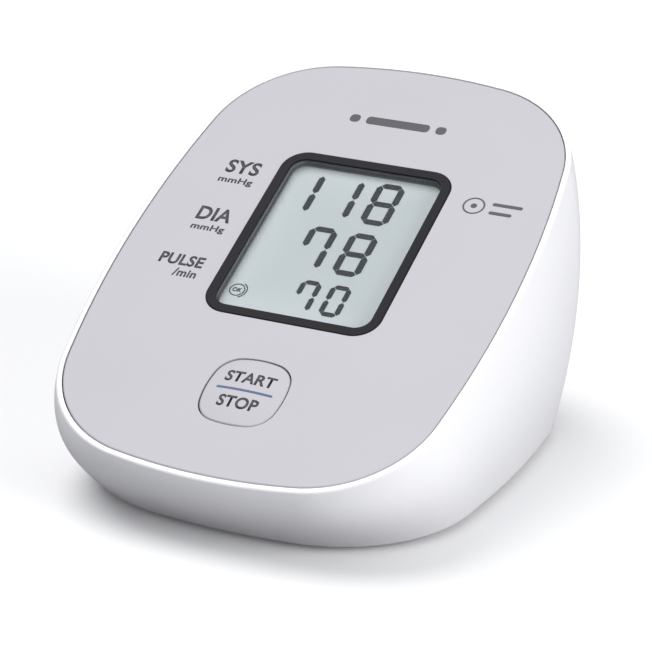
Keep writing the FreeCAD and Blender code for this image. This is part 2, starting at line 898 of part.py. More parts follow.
def main_board():
    middle = (board_low_v + board_high_v) / 2
    half_length = (board_high_v - board_low_v) / 2
    board = rounded_box(board_half_width, half_length, board_corner, board_low_w, -board_drop)
    board.translate(Vector(0, middle, 0))
    for u, v in board_screw_places:
        board = board.cut(rod(board_screw_radius + screw_play, (u, v, board_low_w), UP,
                              board_thickness))
    return on_panel(board)


def board_screws():
    screws = []
    for u, v in board_screw_places:
        head = rod(board_screw_head, (u, v, board_low_w - board_screw_head_height), UP,
                   board_screw_head_height)
        head = head.cut(rod(board_screw_head / 2, (u, v, board_low_w - board_screw_head_height),
                            UP, board_screw_head_height / 2))
        shank = rod(board_screw_radius, (u, v, board_low_w), UP, board_screw_length)
        screws.append(on_panel(joined(head, shank)))
    return screws


def under_board(half_x, half_y, height, u, v):
    return on_panel(box(u - half_x, u + half_x, v - half_y, v + half_y, board_low_w - height,
                        board_low_w))


def processor_chip():
    """A square package with a row of legs on each side."""
    body = box(-chip_half_size, chip_half_size, -chip_half_size, chip_half_size,
               board_low_w - chip_thickness, board_low_w - chip_lift)
    pitch = 2 * (chip_half_size - chip_leg_inset) / (chip_legs - 1)
    legs = []
    for row in range(4):
        for index in range(chip_legs):
            along = -chip_half_size + chip_leg_inset + index * pitch
            leg = box(along - chip_leg_width / 2, along + chip_leg_width / 2,
                      chip_half_size - chip_leg_root, chip_half_size + chip_leg_reach,
                      board_low_w - 2 * chip_lift, board_low_w)
            leg.rotate(Vector(0, 0, 0), Vector(0, 0, 1), 90 * row)
            legs.append(leg)
    return on_panel(body.fuse(legs))


def small_chips():
    return [under_board(*small_chip_half, chip_thickness, u, v) for u, v in small_chip_places]


def capacitors():
    parts = []
    for u, v in capacitor_places:
        can = rod(capacitor_radius, (u, v, board_low_w - capacitor_height), UP, capacitor_height)
        top = edges_at(can, lambda p: p.z, board_low_w - capacitor_height)
        parts.append(on_panel(can.makeFillet(capacitor_radius / 6, top)))
    return parts


def buzzer():
    low = board_low_w - buzzer_height
    can = rod(buzzer_radius, (*buzzer_place, low), UP, buzzer_height)
    return on_panel(can.cut(rod(buzzer_radius / 6, (*buzzer_place, low), UP, buzzer_height / 2)))


def crystal():
    can = rounded_box(*crystal_half, crystal_corner, board_low_w - crystal_height,
                      board_low_w)
    return on_panel(can, *crystal_place)


def pump_cap():
    cap = rod(pump_radius, (cap_x, pump_y, pump_z), RIGHT, pump_cap_length)
    edges = [e for e in cap.Edges if e.BoundBox.XMax < cap_x + pump_cap_length / 2]
    cap = cap.makeFillet(pump_cap_round, edges)
    chamber = rod(pump_radius / 2, (cap_x + pump_wall, pump_y, pump_z), RIGHT,
                  pump_cap_length - pump_wall)
    neck = rod(tube_outer, (air_x, pump_y, air_z), FORWARD, neck_reach)
    nipple = rod(tube_inner, (air_x, pump_y, air_z), FORWARD, neck_reach + nipple_length)
    cap = cap.fuse([neck.cut(chamber), nipple.cut(chamber)]).cut(chamber)
    cap = cap.cut(rod(passage_radius, (air_x, pump_y, air_z), FORWARD, pump_y))
    for y, z in pump_screw_places():
        cap = cap.cut(rod(pump_screw_radius, (cap_x, y, z), RIGHT, pump_cap_length))
        cap = cap.cut(rod(pump_screw_head + pump_screw_play, (cap_x, y, z), RIGHT,
                          pump_screw_head_height))
    return cap.removeSplitter()


def pump_screw_places():
    places = []
    for index in range(4):
        angle = math.radians(45 + 90 * index)
        places.append((pump_y + pump_screw_circle * math.cos(angle),
                       pump_z + pump_screw_circle * math.sin(angle)))
    return places


def cup_places():
    places = []
    for index in range(cup_count):
        angle = math.radians(90 + 360 * index / cup_count)
        places.append((pump_y + cup_circle * math.cos(angle),
                       pump_z + cup_circle * math.sin(angle)))
    return places


def pump_diaphragm():
    x = cap_x + pump_cap_length
    sheet = rod(pump_radius - diaphragm_inset, (x, pump_y, pump_z), RIGHT, diaphragm_thickness)
    for y, z in cup_places():
        sheet = sheet.fuse(rod(cup_radius, (x, y, z), RIGHT, diaphragm_thickness + cup_depth))
        sheet = sheet.cut(rod(cup_radius - cup_wall, (x, y, z), RIGHT,
                              diaphragm_thickness + cup_depth - cup_wall))
    for y, z in pump_screw_places():
        sheet = sheet.cut(rod(pump_screw_radius, (x, y, z), RIGHT, diaphragm_thickness))
    return sheet.removeSplitter()


def pump_case():
    case = rod(pump_radius, (case_x, pump_y, pump_z), RIGHT, pump_case_length)
    hollow_radius = cup_circle + cup_radius + cup_room
    case = case.cut(rod(hollow_radius, (case_x, pump_y, pump_z), RIGHT,
                        pump_case_length - pump_wall))
    case = case.cut(rod(bushing_radius + bushing_play, (motor_x - pump_wall, pump_y, pump_z),
                        RIGHT, pump_wall))
    for y, z in pump_screw_places():
        case = case.fuse(rod(pump_screw_radius + pump_post_wall, (case_x, y, z), RIGHT,
                             pump_case_length))
    case = case.common(rod(pump_radius, (case_x, pump_y, pump_z), RIGHT, pump_case_length))
    for y, z in pump_screw_places():
        case = case.cut(rod(pump_screw_radius, (case_x, y, z), RIGHT,
                            pump_screw_length - pump_cap_length))
    return case.removeSplitter()


def pump_screws():
    screws = []
    for y, z in pump_screw_places():
        head = rod(pump_screw_head, (cap_x, y, z), RIGHT, pump_screw_head_height)
        head = head.cut(rod(pump_screw_head / 2, (cap_x, y, z), RIGHT, pump_screw_socket))
        shank = rod(pump_screw_radius, (cap_x + pump_screw_head_height, y, z), RIGHT,
                    pump_screw_length - pump_screw_head_height)
        screws.append(joined(head, shank))
    return screws


def driver_x():
    return case_x + cup_depth + driver_play


def pump_driver():
    """The three armed plate that works the cups."""
    x = driver_x()
    hub = crank_offset + crank_pin_radius + driver_play
    plate = rod(hub + driver_hub_wall, (x, pump_y, pump_z), RIGHT, driver_thickness)
    for y, z in cup_places():
        arm = rod(cup_radius - driver_arm_inset, (x, y, z), RIGHT, driver_thickness)
        link = box(x, x + driver_thickness, -driver_link_half_width, driver_link_half_width, 0,
                   cup_circle)
        link.rotate(Vector(0, 0, 0), Vector(1, 0, 0),
                    math.degrees(math.atan2(z - pump_z, y - pump_y)) - 90)
        link.translate(Vector(0, pump_y, pump_z))
        stud = rod(driver_stud_radius, (x - driver_play, y, z), RIGHT, driver_play)
        plate = plate.fuse([arm, link, stud])
    return plate.cut(rod(hub, (x, pump_y, pump_z), RIGHT, driver_thickness)).removeSplitter()


def pump_crank():
    x = driver_x() + driver_thickness + driver_play
    disc = rod(crank_radius, (x, pump_y, pump_z), RIGHT, crank_length)
    pin = rod(crank_pin_radius, (x - crank_pin_length + crank_web, pump_y + crank_offset, pump_z),
              RIGHT, crank_pin_length)
    return joined(disc, pin).cut(rod(shaft_radius, (x + crank_web, pump_y, pump_z), RIGHT,
                                     crank_length))


def motor_can():
    can = rod(motor_radius, (motor_x, pump_y, pump_z), RIGHT, motor_length)
    rear = [e for e in can.Edges if e.BoundBox.XMin > motor_x + motor_length / 2]
    can = can.makeFillet(motor_round, rear)
    can = can.cut(rod(motor_radius - motor_wall, (motor_x + motor_wall, pump_y, pump_z), RIGHT,
                      motor_length - 2 * motor_wall))
    return can.cut(rod(bushing_radius, (motor_x, pump_y, pump_z), RIGHT, motor_length))


def motor_bushings():
    bushings = []
    for x in (motor_x - bushing_proud, motor_x + motor_length + bushing_proud - bushing_length):
        bushings.append(pipe(bushing_radius, shaft_radius + shaft_play, (x, pump_y, pump_z),
                             RIGHT, bushing_length))
    return bushings


def motor_magnets():
    magnets = []
    outer = motor_radius - motor_wall
    for start in (-magnet_angle / 2, 180 - magnet_angle / 2):
        x = motor_x + motor_wall + bushing_length
        length = rotor_length + 2 * rotor_end_gap
        ring = Part.makeCylinder(outer, length, Vector(x, pump_y, pump_z), Vector(1, 0, 0),
                                 magnet_angle)
        ring = ring.cut(rod(outer - magnet_thickness, (x, pump_y, pump_z), RIGHT, length))
        ring.rotate(Vector(x, pump_y, pump_z), Vector(1, 0, 0), start)
        magnets.append(ring)
    return magnets


def motor_rotor():
    radius = motor_radius - motor_wall - magnet_thickness - rotor_gap
    x = motor_x + motor_wall + bushing_length + rotor_end_gap
    core = rod(radius, (x, pump_y, pump_z), RIGHT, rotor_length)
    for index in range(rotor_slots):
        slot = box(x, x + rotor_length, -slot_width / 2, slot_width / 2, radius - slot_depth,
                   radius + slot_depth)
        slot.rotate(Vector(0, 0, 0), Vector(1, 0, 0), 360 * index / rotor_slots + 60)
        slot.translate(Vector(0, pump_y, pump_z))
        core = core.cut(slot)
    ring = rod(commutator_radius, (x + rotor_length, pump_y, pump_z), RIGHT, commutator_length)
    start = driver_x() + driver_thickness + driver_play + crank_web
    shaft = rod(shaft_radius, (start, pump_y, pump_z), RIGHT,
                motor_x + motor_length + shaft_proud - start)
    return joined(core, ring, shaft)


def motor_terminals():
    """A plastic bridge with two solder tags on the rear of the motor."""
    x = motor_x + motor_length
    tags = []
    for side in (1, -1):
        z = pump_z + side * terminal_rise
        tags.append(box(x, x + terminal_length, pump_y - terminal_half_width,
                        pump_y + terminal_half_width, z - terminal_thickness / 2,
                        z + terminal_thickness / 2))
    return tags


def pump_sleeves():
    return [pipe(motor_radius + sleeve_thickness, motor_radius, (motor_x + place, pump_y, pump_z),
                 RIGHT, sleeve_length) for place in sleeve_places]


def bend_height():
    """Height at which the sensor's tube turns from upright to square to the board."""
    return panel_point(0, sensor_v, board_low_w).z - sensor_reach * math.cos(tilt)


def air_manifold():
    half = manifold_size / 2
    body = box(air_x - half, air_x + half, air_y - half, air_y + half, well_top, air_z + half)
    arms = half + nipple_length
    centre = (air_x, air_y, air_z)
    for direction in (RIGHT, LEFT, BACK, UP):
        body = body.fuse(rod(tube_inner, centre, direction, arms))
    for direction in (RIGHT, LEFT, BACK, UP):
        body = body.cut(rod(passage_radius, centre, direction, arms))
    return body.removeSplitter()


def pressure_sensor():
    body = box(-sensor_half[0], sensor_half[0], -sensor_half[1], sensor_half[1],
               board_low_w - sensor_height, board_low_w)
    length = sensor_height + nipple_length
    port = rod(tube_inner, (0, 0, board_low_w - length), UP, length)
    hole = rod(passage_radius, (0, 0, board_low_w - length), UP, length - sensor_skin)
    return on_panel(joined(body, port).cut(hole), air_x, sensor_v)


def air_tubes():
    """Pump to manifold, jack to manifold, manifold to valve, and manifold to sensor."""
    half = manifold_size / 2
    jack_end = -overall_width / 2 + jack_length
    runs = [
        ((air_x, air_y + half, air_z), (air_x, pump_y - neck_reach, air_z)),
        ((jack_end, air_y, air_z), (air_x - half, air_y, air_z)),
        ((air_x + half, air_y, air_z), (valve_x - valve_half_width, air_y, air_z)),
    ]
    tubes = []
    for start, end in runs:
        way = Vector(*end) - Vector(*start)
        tubes.append(pipe(tube_outer, tube_inner, start, tuple(way), way.Length))
    bend = (air_x, air_y, bend_height())
    tip = panel_point(air_x, sensor_v, board_low_w - sensor_height)
    path = [(air_x, air_y, air_z + half), bend, tuple(tip)]
    outside = swept(path, tube_outer, tube_bend)
    tubes.append(outside.cut(swept(path, tube_inner, tube_bend)))
    return tubes


def air_jack():
    face = -overall_width / 2
    body = rod(jack_radius, (face, air_y, air_z), RIGHT, jack_length)
    flange = rod(jack_flange_radius, (face, air_y, air_z), RIGHT, jack_flange_thickness)
    outer_edge = [e for e in flange.Edges if e.BoundBox.XMax < face + jack_flange_thickness / 2]
    flange = flange.makeFillet(jack_round, outer_edge)
    nipple = rod(tube_inner, (face, air_y, air_z), RIGHT, jack_length + nipple_length)
    jack = joined(body, flange, nipple)
    jack = jack.cut(rod(jack_bore_radius, (face, air_y, air_z), RIGHT, jack_bore_depth))
    return jack.cut(rod(passage_radius, (face, air_y, air_z), RIGHT, overall_width))


def valve_base():
    base = box(valve_x - valve_half_width, valve_x + valve_half_width,
               valve_y - valve_half_depth, valve_y + valve_half_depth, well_top, valve_floor())
    bowl_low = valve_floor() - seal_thickness - bowl_depth
    bowl = rod(plunger_radius + bowl_play, (valve_x, valve_y, bowl_low), UP,
               seal_thickness + bowl_depth)
    seat = rod(plunger_radius - seat_inset, (valve_x, valve_y, bowl_low), UP,
               bowl_depth - seal_gap)
    nipple = rod(tube_inner, (valve_x, valve_y, air_z), LEFT, valve_half_width + nipple_length)
    nipple = nipple.cut(base)
    base = joined(base.cut(bowl), seat, nipple)
    base = base.cut(rod(passage_radius, (valve_x, valve_y, air_z), LEFT, 2 * valve_half_width))
    base = base.cut(rod(passage_radius, (valve_x, valve_y, air_z), UP, valve_base_height))
    vent = rod(vent_radius, (valve_x, valve_y, bowl_low + vent_rise), RIGHT, valve_half_width)
    return base.cut(vent.cut(rod(plunger_radius, (valve_x, valve_y, well_top), UP,
                                 valve_base_height)))


def valve_floor():
    return well_top + valve_base_height


def valve_roof():
    return valve_floor() + valve_plate + coil_length


def valve_yoke():
    """A steel strap bent round the coil."""
    x0 = valve_x - valve_half_width
    x1 = valve_x + valve_half_width
    y0 = valve_y - valve_half_depth + yoke_inset
    y1 = valve_y + valve_half_depth - yoke_inset
    yoke = box(x0, x1, y0, y1, valve_floor(), valve_roof() + valve_plate)
    yoke = yoke.cut(box(x0 + valve_plate, x1 - valve_plate, y0, y1, valve_floor() + valve_plate,
                        valve_roof()))
    return yoke.cut(rod(plunger_radius + plunger_play, (valve_x, valve_y, valve_floor()), UP,
                        valve_plate))


def valve_coil():
    low = valve_floor() + valve_plate
    bore = plunger_radius + plunger_play
    bobbin = pipe(bore + coil_wall, bore, (valve_x, valve_y, low), UP, coil_length)
    for z in (low, valve_roof() - coil_wall):
        bobbin = bobbin.fuse(pipe(coil_radius, bore, (valve_x, valve_y, z), UP, coil_wall))
    return bobbin.removeSplitter()


def valve_winding():
    low = valve_floor() + valve_plate + coil_wall
    return pipe(coil_radius - winding_inset, plunger_radius + plunger_play + coil_wall,
                (valve_x, valve_y, low), UP, coil_length - 2 * coil_wall)


def valve_plunger():
    return rod(plunger_radius, (valve_x, valve_y, valve_floor()), UP, plunger_length)


def valve_seal():
    return rod(plunger_radius, (valve_x, valve_y, valve_floor() - seal_thickness), UP,
               seal_thickness)


def valve_spring():
    low = valve_floor() + plunger_length
    length = valve_roof() - low - 2 * valve_spring_wire
    return coil((valve_x, valve_y, low + valve_spring_wire), valve_spring_radius,
                valve_spring_end_radius, length, valve_spring_turns, valve_spring_wire)


def adapter_socket():
    face = socket_face_y()
    body = box(socket_x - socket_half_width, socket_x + socket_half_width, face - socket_length,
               face, socket_z - socket_half_height, socket_z + socket_half_height)
    collar = rod(socket_opening_radius - collar_play, (socket_x, face, socket_z), BACK,
                 collar_length)
    body = joined(body, collar)
    low = face + collar_length - socket_bore_depth
    return body.cut(rod(socket_bore_radius, (socket_x, low, socket_z), BACK,
                        socket_bore_depth))


def socket_pin():
    low = socket_face_y() + collar_length - socket_bore_depth
    length = socket_bore_depth - socket_pin_short
    pin = rod(socket_pin_radius, (socket_x, low, socket_z), BACK, length)
    tip = [e for e in pin.Edges if e.BoundBox.YMin > low + length / 2]
    return pin.makeFillet(socket_pin_radius * 0.8, tip)


def battery_leads():
    leads = []
    for side in (1, -1):
        y = well_rear + lead_radius
        u = side * (board_half_width - board_lead_margin)
        v = board_high_v - battery_lead_inset
        tip = panel_point(u, v, board_low_w)
        run = (y - tip.y) / math.sin(tilt)
        turn = panel_point(u, v, board_low_w - run)
        start = (side * lead_x, y, well_top + battery_lead_start)
        leads.append(swept([start, tuple(turn), tuple(tip)], lead_radius, lead_bend))
    return leads


def motor_leads():
    """Each lead rises past its own solder tag, then turns square to the board."""
    leads = []
    tag_end = motor_x + motor_length + terminal_length
    for side in (1, -1):
        x = tag_end + lead_radius * (2 - side)
        v = motor_lead_v
        tip = panel_point(x, v, board_low_w)
        run = (pump_y - tip.y) / math.sin(tilt)
        turn = panel_point(x, v, board_low_w - run)
        start = (x, pump_y, pump_z + side * terminal_rise)
        leads.append(swept([start, tuple(turn), tuple(tip)], lead_radius, lead_bend))
    return leads


def underside_label():
    half_length = (label_rear - label_front) / 2
    label = rounded_box(label_half_width, half_length, label_corner,
                        foot_height - label_thickness, foot_height)
    return label.translated(Vector(0, (label_rear + label_front) / 2, 0))


os.makedirs("parts", exist_ok=True)
save("housing_tub", housing_tub())
save("front_panel", front_panel())
save("battery_door", battery_door())
save("rubber_feet", *rubber_feet())
save("case_screws", *case_screw_set())
save("underside_label", underside_label())
save("battery_cells", *battery_cells())
save("battery_springs", *battery_springs())
save("battery_contacts", *battery_contacts())
save("battery_leads", *battery_leads())
save("lcd_bezel", lcd_bezel())
save("display_window", display_window())
save("lcd_glass", lcd_glass())
save("lcd_holder", lcd_holder())
save("contact_strip", contact_strip())
save("start_stop_key", start_stop_key())
save("switch_body", switch_body())
save("switch_plunger", switch_plunger())
save("main_board", main_board())
save("board_screws", *board_screws())
save("processor_chip", processor_chip())
save("small_chips", *small_chips())
save("capacitors", *capacitors())
save("buzzer", buzzer())
save("crystal", crystal())
save("pressure_sensor", pressure_sensor())
save("pump_cap", pump_cap())
save("pump_diaphragm", pump_diaphragm())
save("pump_case", pump_case())
save("pump_screws", *pump_screws())
save("pump_driver", pump_driver())
save("pump_crank", pump_crank())
save("motor_can", motor_can())
save("motor_bushings", *motor_bushings())
save("motor_magnets", *motor_magnets())
save("motor_rotor", motor_rotor())
save("motor_terminals", *motor_terminals())
save("motor_leads", *motor_leads())
save("pump_sleeves", *pump_sleeves())
save("air_manifold", air_manifold())
save("air_tubes", *air_tubes())
save("air_jack", air_jack())
save("valve_base", valve_base())
save("valve_yoke", valve_yoke())
save("valve_coil", valve_coil())
save("valve_winding", valve_winding())
save("valve_plunger", valve_plunger())
save("valve_seal", valve_seal())
save("valve_spring", valve_spring())
save("adapter_socket", adapter_socket())
save("socket_pin", socket_pin())
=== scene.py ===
import bpy
import json
import math
from mathutils import Matrix, Vector


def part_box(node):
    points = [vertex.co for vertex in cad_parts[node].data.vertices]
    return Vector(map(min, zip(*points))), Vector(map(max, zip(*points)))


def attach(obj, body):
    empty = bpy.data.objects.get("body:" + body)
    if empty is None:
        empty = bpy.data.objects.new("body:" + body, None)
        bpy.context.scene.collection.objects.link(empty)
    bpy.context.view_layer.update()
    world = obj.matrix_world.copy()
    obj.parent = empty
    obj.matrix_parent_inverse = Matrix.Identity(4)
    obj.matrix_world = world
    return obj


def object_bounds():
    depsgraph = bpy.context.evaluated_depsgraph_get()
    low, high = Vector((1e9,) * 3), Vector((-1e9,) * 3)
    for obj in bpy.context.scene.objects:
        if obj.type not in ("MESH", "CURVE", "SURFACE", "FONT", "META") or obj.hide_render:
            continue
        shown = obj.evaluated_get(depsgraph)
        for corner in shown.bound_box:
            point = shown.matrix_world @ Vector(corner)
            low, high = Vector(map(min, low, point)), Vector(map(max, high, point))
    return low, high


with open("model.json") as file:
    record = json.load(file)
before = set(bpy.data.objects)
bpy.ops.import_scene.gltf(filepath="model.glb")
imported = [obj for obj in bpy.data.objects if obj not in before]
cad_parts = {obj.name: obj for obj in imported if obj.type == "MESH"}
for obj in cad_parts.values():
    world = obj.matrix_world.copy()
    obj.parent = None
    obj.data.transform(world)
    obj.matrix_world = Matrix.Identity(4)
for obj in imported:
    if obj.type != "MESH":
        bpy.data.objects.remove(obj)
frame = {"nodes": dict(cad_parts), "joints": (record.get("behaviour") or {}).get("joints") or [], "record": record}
cadLow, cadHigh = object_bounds()
mm = 0.001
print("frame loaded")


# helpers: selection, placing and choosing parts of a mesh
def pick(obj):
    bpy.ops.object.select_all(action="DESELECT")
    obj.select_set(True)
    bpy.context.view_layer.objects.active = obj
    return obj


def applyPlace(obj):
    pick(obj)
    bpy.ops.object.transform_apply(location=True, rotation=True, scale=True)
    return obj


def selectFaces(obj, test):
    bpy.ops.object.mode_set(mode="OBJECT")
    for v in obj.data.vertices:
        v.select = False
    for e in obj.data.edges:
        e.select = False
    for f in obj.data.polygons:
        f.select = test(f)
    bpy.ops.object.mode_set(mode="EDIT")
    bpy.ops.mesh.select_mode(type="FACE")


def selectPoints(obj, test):
    bpy.ops.object.mode_set(mode="EDIT")
    bpy.ops.mesh.select_mode(type="VERT")
    bpy.ops.mesh.select_all(action="DESELECT")
    bpy.ops.object.mode_set(mode="OBJECT")
    for v in obj.data.vertices:
        v.select = test(v.co)
    bpy.ops.object.mode_set(mode="EDIT")


# the sloping face has its own right, up and outward directions
keyJoint = next(j for j in frame["joints"] if j["name"] == "key_press")
faceOut = -Vector(keyJoint["axis"]).normalized()
faceRight = Vector((1, 0, 0))
faceUp = faceOut.cross(faceRight)
windowLow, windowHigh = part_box("display_window")
windowDepth = 0.9  # mm from the face to the middle of the clear window
displayCentre = (windowLow + windowHigh) / 2 + faceOut * windowDepth * mm


def facePlace(right, up, out):
    spot = displayCentre + (faceRight * right + faceUp * up + faceOut * out) * mm
    turn = Matrix((faceRight, faceUp, faceOut)).transposed().to_4x4()
    return Matrix.Translation(spot) @ turn


# shader groups that the materials share
def newGroup(name, inputs, outputs):
    group = bpy.data.node_groups.new(name, "ShaderNodeTree")
    for label, kind, value in inputs:
        socket = group.interface.new_socket(name=label, in_out="INPUT", socket_type=kind)
        socket.default_value = value
    for label, kind in outputs:
        group.interface.new_socket(name=label, in_out="OUTPUT", socket_type=kind)
    start = group.nodes.new("NodeGroupInput")
    end = group.nodes.new("NodeGroupOutput")
    return group, start, end


def addNode(tree, kind, settings=None, values=None):
    node = tree.nodes.new(kind)
    for key, value in (settings or {}).items():
        setattr(node, key, value)
    for key, value in (values or {}).items():
        node.inputs[key].default_value = value
    return node


def mathNode(tree, operation, *values):
    node = addNode(tree, "ShaderNodeMath", {"operation": operation})
    for socket, value in zip(node.inputs, values):
        if isinstance(value, (int, float)):
            socket.default_value = value
        else:
            tree.links.new(value, socket)
    return node.outputs[0]


def mixColour(tree, factor, first, second, blend="MIX"):
    node = addNode(tree, "ShaderNodeMix", {"data_type": "RGBA", "blend_type": blend})
    for socket, value in zip((node.inputs[0], node.inputs[6], node.inputs[7]),
                             (factor, first, second)):
        if isinstance(value, (int, float, tuple, list)):
            socket.default_value = value
        else:
            tree.links.new(value, socket)
    return node.outputs[2]


mouldLook = {"waveScale": 38.0, "waveDetail": 3.0, "grainDetail": 2.0, "grainRough": 0.6,
             "grainGloss": 0.03, "shade": (0.80, 0.81, 0.84, 1)}

# moulded plastic: a fine spark texture, slow waves of gloss and a slight drift of colour
mouldGroup, mouldIn, mouldOut = newGroup(
    "mouldedSkin",
    [("Colour", "NodeSocketColor", (0.8, 0.8, 0.8, 1)), ("Drift", "NodeSocketFloat", 0.03),
     ("Grain Size", "NodeSocketFloat", 0.35), ("Roughness", "NodeSocketFloat", 0.4),
     ("Gloss Swing", "NodeSocketFloat", 0.06)],
    [("Colour", "NodeSocketColor"), ("Roughness", "NodeSocketFloat"),
     ("Height", "NodeSocketFloat")])
coords = addNode(mouldGroup, "ShaderNodeTexCoord")
grainScale = mathNode(mouldGroup, "DIVIDE", 1 / mm, mouldIn.outputs["Grain Size"])
grain = addNode(mouldGroup, "ShaderNodeTexNoise",
                values={"Detail": mouldLook["grainDetail"], "Roughness": mouldLook["grainRough"]})
mouldGroup.links.new(coords.outputs["Object"], grain.inputs["Vector"])
mouldGroup.links.new(grainScale, grain.inputs["Scale"])
waves = addNode(mouldGroup, "ShaderNodeTexNoise",
                values={"Scale": mouldLook["waveScale"], "Detail": mouldLook["waveDetail"]})
mouldGroup.links.new(coords.outputs["Object"], waves.inputs["Vector"])
swing = mathNode(mouldGroup, "MULTIPLY", mathNode(mouldGroup, "SUBTRACT", waves.outputs[0], 0.5),
                 mouldIn.outputs["Gloss Swing"])
gloss = mathNode(mouldGroup, "ADD", mouldIn.outputs["Roughness"], swing)
fineGloss = mathNode(mouldGroup, "MULTIPLY_ADD", grain.outputs[0], mouldLook["grainGloss"], gloss)
darker = mixColour(mouldGroup, 1.0, mouldIn.outputs["Colour"], mouldLook["shade"], "MULTIPLY")
driftMask = mathNode(mouldGroup, "MULTIPLY", waves.outputs[0], mouldIn.outputs["Drift"])
tinted = mixColour(mouldGroup, driftMask, mouldIn.outputs["Colour"], darker)
mouldGroup.links.new(tinted, mouldOut.inputs["Colour"])
mouldGroup.links.new(fineGloss, mouldOut.inputs["Roughness"])
mouldGroup.links.new(grain.outputs[0], mouldOut.inputs["Height"])

drawnLook = {"stretch": (0.05, 1.0, 1.0), "lineDetail": 4.0, "lineGloss": 0.18,
             "stainScale": 240.0, "stainDetail": 2.0, "stainShare": 0.5,
             "stain": (0.72, 0.70, 0.66, 1)}

# metal: drawn lines along one direction and small stains
drawnGroup, drawnIn, drawnOut = newGroup(
    "drawnMetal",
    [("Colour", "NodeSocketColor", (0.6, 0.6, 0.6, 1)), ("Line Size", "NodeSocketFloat", 0.12),
     ("Roughness", "NodeSocketFloat", 0.3)],
    [("Colour", "NodeSocketColor"), ("Roughness", "NodeSocketFloat"),
     ("Height", "NodeSocketFloat")])
coords = addNode(drawnGroup, "ShaderNodeTexCoord")
stretch = addNode(drawnGroup, "ShaderNodeMapping", values={"Scale": drawnLook["stretch"]})
drawnGroup.links.new(coords.outputs["Object"], stretch.inputs["Vector"])
lines = addNode(drawnGroup, "ShaderNodeTexNoise", values={"Detail": drawnLook["lineDetail"]})
drawnGroup.links.new(stretch.outputs[0], lines.inputs["Vector"])
drawnGroup.links.new(mathNode(drawnGroup, "DIVIDE", 1 / mm, drawnIn.outputs["Line Size"]),
                     lines.inputs["Scale"])
stains = addNode(drawnGroup, "ShaderNodeTexNoise",
                 values={"Scale": drawnLook["stainScale"], "Detail": drawnLook["stainDetail"]})
drawnGroup.links.new(coords.outputs["Object"], stains.inputs["Vector"])
rough = mathNode(drawnGroup, "MULTIPLY_ADD", lines.outputs[0], drawnLook["lineGloss"],
                 drawnIn.outputs["Roughness"])
dull = mixColour(drawnGroup, 1.0, drawnIn.outputs["Colour"], drawnLook["stain"], "MULTIPLY")
stainMask = mathNode(drawnGroup, "MULTIPLY", stains.outputs[0], drawnLook["stainShare"])
stained = mixColour(drawnGroup, stainMask, drawnIn.outputs["Colour"], dull)
drawnGroup.links.new(stained, drawnOut.inputs["Colour"])
drawnGroup.links.new(rough, drawnOut.inputs["Roughness"])
drawnGroup.links.new(lines.outputs[0], drawnOut.inputs["Height"])


def newMaterial(name):
    material = bpy.data.materials.new(name)
    material.use_nodes = True
    tree = material.node_tree
    tree.nodes.clear()
    shader = addNode(tree, "ShaderNodeBsdfPrincipled")
    end = addNode(tree, "ShaderNodeOutputMaterial")
    tree.links.new(shader.outputs[0], end.inputs["Surface"])
    return material, tree, shader


bumpDepth = {"moulded": 0.02, "fine": 0.01}  # mm
coatRoughness = 0.12


def addBump(tree, shader, height, strength, depth):
    bump = addNode(tree, "ShaderNodeBump", values={"Strength": strength, "Distance": depth * mm})
    tree.links.new(height, bump.inputs["Height"])
    tree.links.new(bump.outputs[0], shader.inputs["Normal"])


def plastic(name, colour, roughness, drift=0.05, grain=0.35, swing=0.06, bump=0.12, coat=0.0,
            specular=0.5):
    material, tree, shader = newMaterial(name)
    skin = addNode(tree, "ShaderNodeGroup", {"node_tree": mouldGroup},
                   {"Colour": (*colour, 1), "Drift": drift, "Grain Size": grain,
                    "Roughness": roughness, "Gloss Swing": swing})
    tree.links.new(skin.outputs["Colour"], shader.inputs["Base Color"])
    tree.links.new(skin.outputs["Roughness"], shader.inputs["Roughness"])
    addBump(tree, shader, skin.outputs["Height"], bump, bumpDepth["moulded"])
    shader.inputs["Coat Weight"].default_value = coat
    shader.inputs["Coat Roughness"].default_value = coatRoughness
    shader.inputs["Specular IOR Level"].default_value = specular
    return material


def metal(name, colour, roughness, line=0.12, bump=0.15):
    material, tree, shader = newMaterial(name)
    skin = addNode(tree, "ShaderNodeGroup", {"node_tree": drawnGroup},
                   {"Colour": (*colour, 1), "Line Size": line, "Roughness": roughness})
    tree.links.new(skin.outputs["Colour"], shader.inputs["Base Color"])
    tree.links.new(skin.outputs["Roughness"], shader.inputs["Roughness"])
    shader.inputs["Metallic"].default_value = 1.0
    addBump(tree, shader, skin.outputs["Height"], bump, bumpDepth["fine"])
    return material


